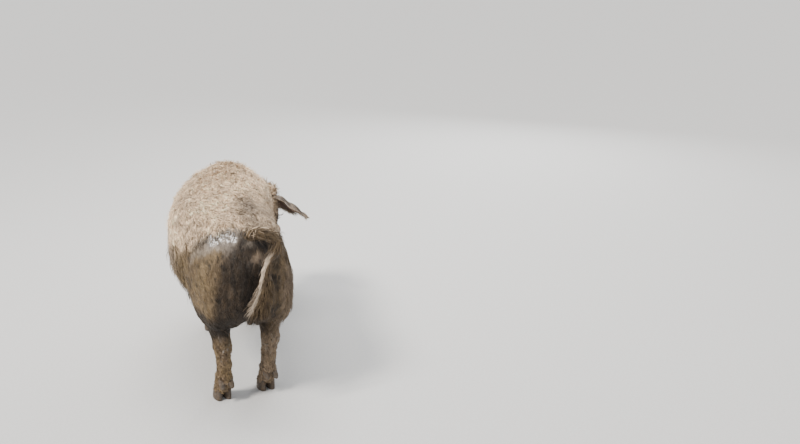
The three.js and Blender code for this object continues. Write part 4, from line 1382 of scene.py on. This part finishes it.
def ear_material():
    n = Nodes("ear_skin")
    blots, veins, grain = n.noise(55, 5), n.noise(26, 3, (1, 1, 0.4)), n.noise(500)
    outer = n.mix(n.span(blots, 0.35, 0.68), (0.042, 0.036, 0.032), (0.105, 0.088, 0.075))
    inside = n.mix(n.span(veins, 0.4, 0.62), (0.20, 0.115, 0.095), (0.10, 0.062, 0.052))
    colour = n.mix(n.attribute("inner"), outer, inside)
    colour = n.mix(n.span(n.attribute("rim"), 0.2, 1, 0, 0.7), colour, (0.36, 0.30, 0.25))
    colour = n.mix(n.span(n.attribute("share"), 0.1, 0.6, 0.35, 0.0), colour, (0.22, 0.18, 0.145))
    n.bump(n.sum(grain, n.span(veins, 0.45, 0.55, 0, 1.5)), 0.6, 0.0015)
    return n.finish(colour, n.span(grain, 0.3, 0.7, 0.5, 0.72))


def eye_material():
    n = Nodes("wet_eye")
    towards, flecks = n.attribute("towards"), n.noise(900)
    iris = n.mix(n.span(flecks, 0.35, 0.65), (0.026, 0.014, 0.008), (0.080, 0.043, 0.021))
    colour = n.mix(n.span(flecks, 0.4, 0.7), (0.13, 0.085, 0.068), (0.07, 0.036, 0.029))
    dark_ring, pupil = (0.012, 0.008, 0.006), (0.003, 0.003, 0.004)
    for start, end, inner in ((0.50, 0.58, dark_ring), (0.58, 0.66, iris), (0.86, 0.90, pupil)):
        colour = n.mix(n.span(towards, start, end), colour, inner)
    return n.finish(colour, n.span(flecks, 0.3, 0.7, 0.05, 0.10), Coat_Weight=0.12,
                    Coat_Roughness=0.02, Specular_IOR_Level=0.3)


def horn_material():
    n = Nodes("muddy_horn")
    bands, mud, fine = n.noise(70, 4, (0.3, 0.3, 2.2)), n.noise(85, 5), n.noise(600)
    horn = n.mix(n.span(bands, 0.35, 0.65), (0.035, 0.026, 0.019), (0.10, 0.075, 0.053))
    caked = n.mix(n.span(fine, 0.35, 0.65), (0.05, 0.034, 0.021), (0.125, 0.083, 0.048))
    n.bump(n.sum(n.sum(bands, fine), n.span(mud, 0.42, 0.6, 0, 1.4)), 0.7, 0.002)
    return n.finish(n.mix(n.span(mud, 0.42, 0.55), horn, caked), n.span(mud, 0.4, 0.6, 0.42, 0.7))


def floor_material():
    n = Nodes("pale_floor")
    colour = n.mix(n.span(n.noise(90, 3), 0.3, 0.7), (0.56, 0.55, 0.535), (0.60, 0.59, 0.575))
    return n.finish(colour, 0.8)


# ---- floor, lights and camera
def add_floor():
    bpy.ops.mesh.primitive_plane_add(size=60, location=(10, 0, 0))
    floor = bpy.context.active_object
    floor.name = "floor"
    floor.data.materials.append(floor_material())


def add_light(name, kind, place, power, size, colour):
    """A soft light at a place, aimed at the middle of the animal."""
    data = bpy.data.lights.new(name, kind)
    data.energy = power
    data.color = colour
    if kind == "SUN":
        data.angle = size
    else:
        data.shape = "DISK"
        data.size = size
    light = bpy.data.objects.new(name, data)
    light.location = place
    light.rotation_euler = (Vector((0, 0, 0.4)) - Vector(place)).to_track_quat("-Z", "Y").to_euler()
    bpy.context.scene.collection.objects.link(light)


def add_lights():
    add_light("key", "SUN", (-2.2, 3.6, 5.0), 4.55, math.radians(14), (1.0, 0.96, 0.90))
    add_light("overhead", "AREA", (0.6, 0.1, 3.4), 90, 2.2, (1.0, 0.99, 0.97))
    add_light("front", "AREA", (3.6, -2.4, 2.0), 80, 2.6, (0.95, 0.98, 1.0))
    world = bpy.data.worlds.new("studio")
    world.use_nodes = True
    background = world.node_tree.nodes["Background"]
    background.inputs["Color"].default_value = (0.88, 0.91, 0.95, 1)
    background.inputs["Strength"].default_value = 1.0
    bpy.context.scene.world = world


def add_camera():
    data = bpy.data.cameras.new("camera")
    data.lens = CAMERA["lens"]
    data.sensor_width = 36
    camera = bpy.data.objects.new("camera", data)
    camera.location = SHIFT * 0.001 + CAMERA["at"]
    camera.rotation_euler = Vector(CAMERA["way"]).to_track_quat("-Z", "Y").to_euler()
    bpy.context.scene.collection.objects.link(camera)
    bpy.context.scene.camera = camera


# ---- putting it together
def dress(obj, material):
    obj.data.materials.append(material)
    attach(obj, "root")


def build():
    points, quads, normals = make_skin_surface()
    skinned = skin_object(points, quads, normals)
    legs = ["leg_" + leg["name"] for leg in LEGS]
    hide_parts("head", "neck", "shoulders", "barrel", "hindquarters", "tail", *legs)
    dress(skinned, skin_material())
    coat = coat_material()
    pieces = grow_all(points, quads)
    for label, side in (("left", 1), ("right", -1)):
        ear = ear_object("ear_" + label + "_skin", side)
        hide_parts("ear_" + label)
        dress(ear, ear_material())
        eye = eye_object("eyeball_" + label, side)
        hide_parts("eye_" + label)
        dress(eye, eye_material())
        pieces.append(ear_coat("ear_hair_" + label, side))
        pieces.append(lashes("lashes_" + label, side))
    for piece in pieces:
        dress(piece, coat)
    horn = horn_material()
    for piece in horn_objects():
        dress(piece, horn)


build()
add_floor()
add_lights()
add_camera()
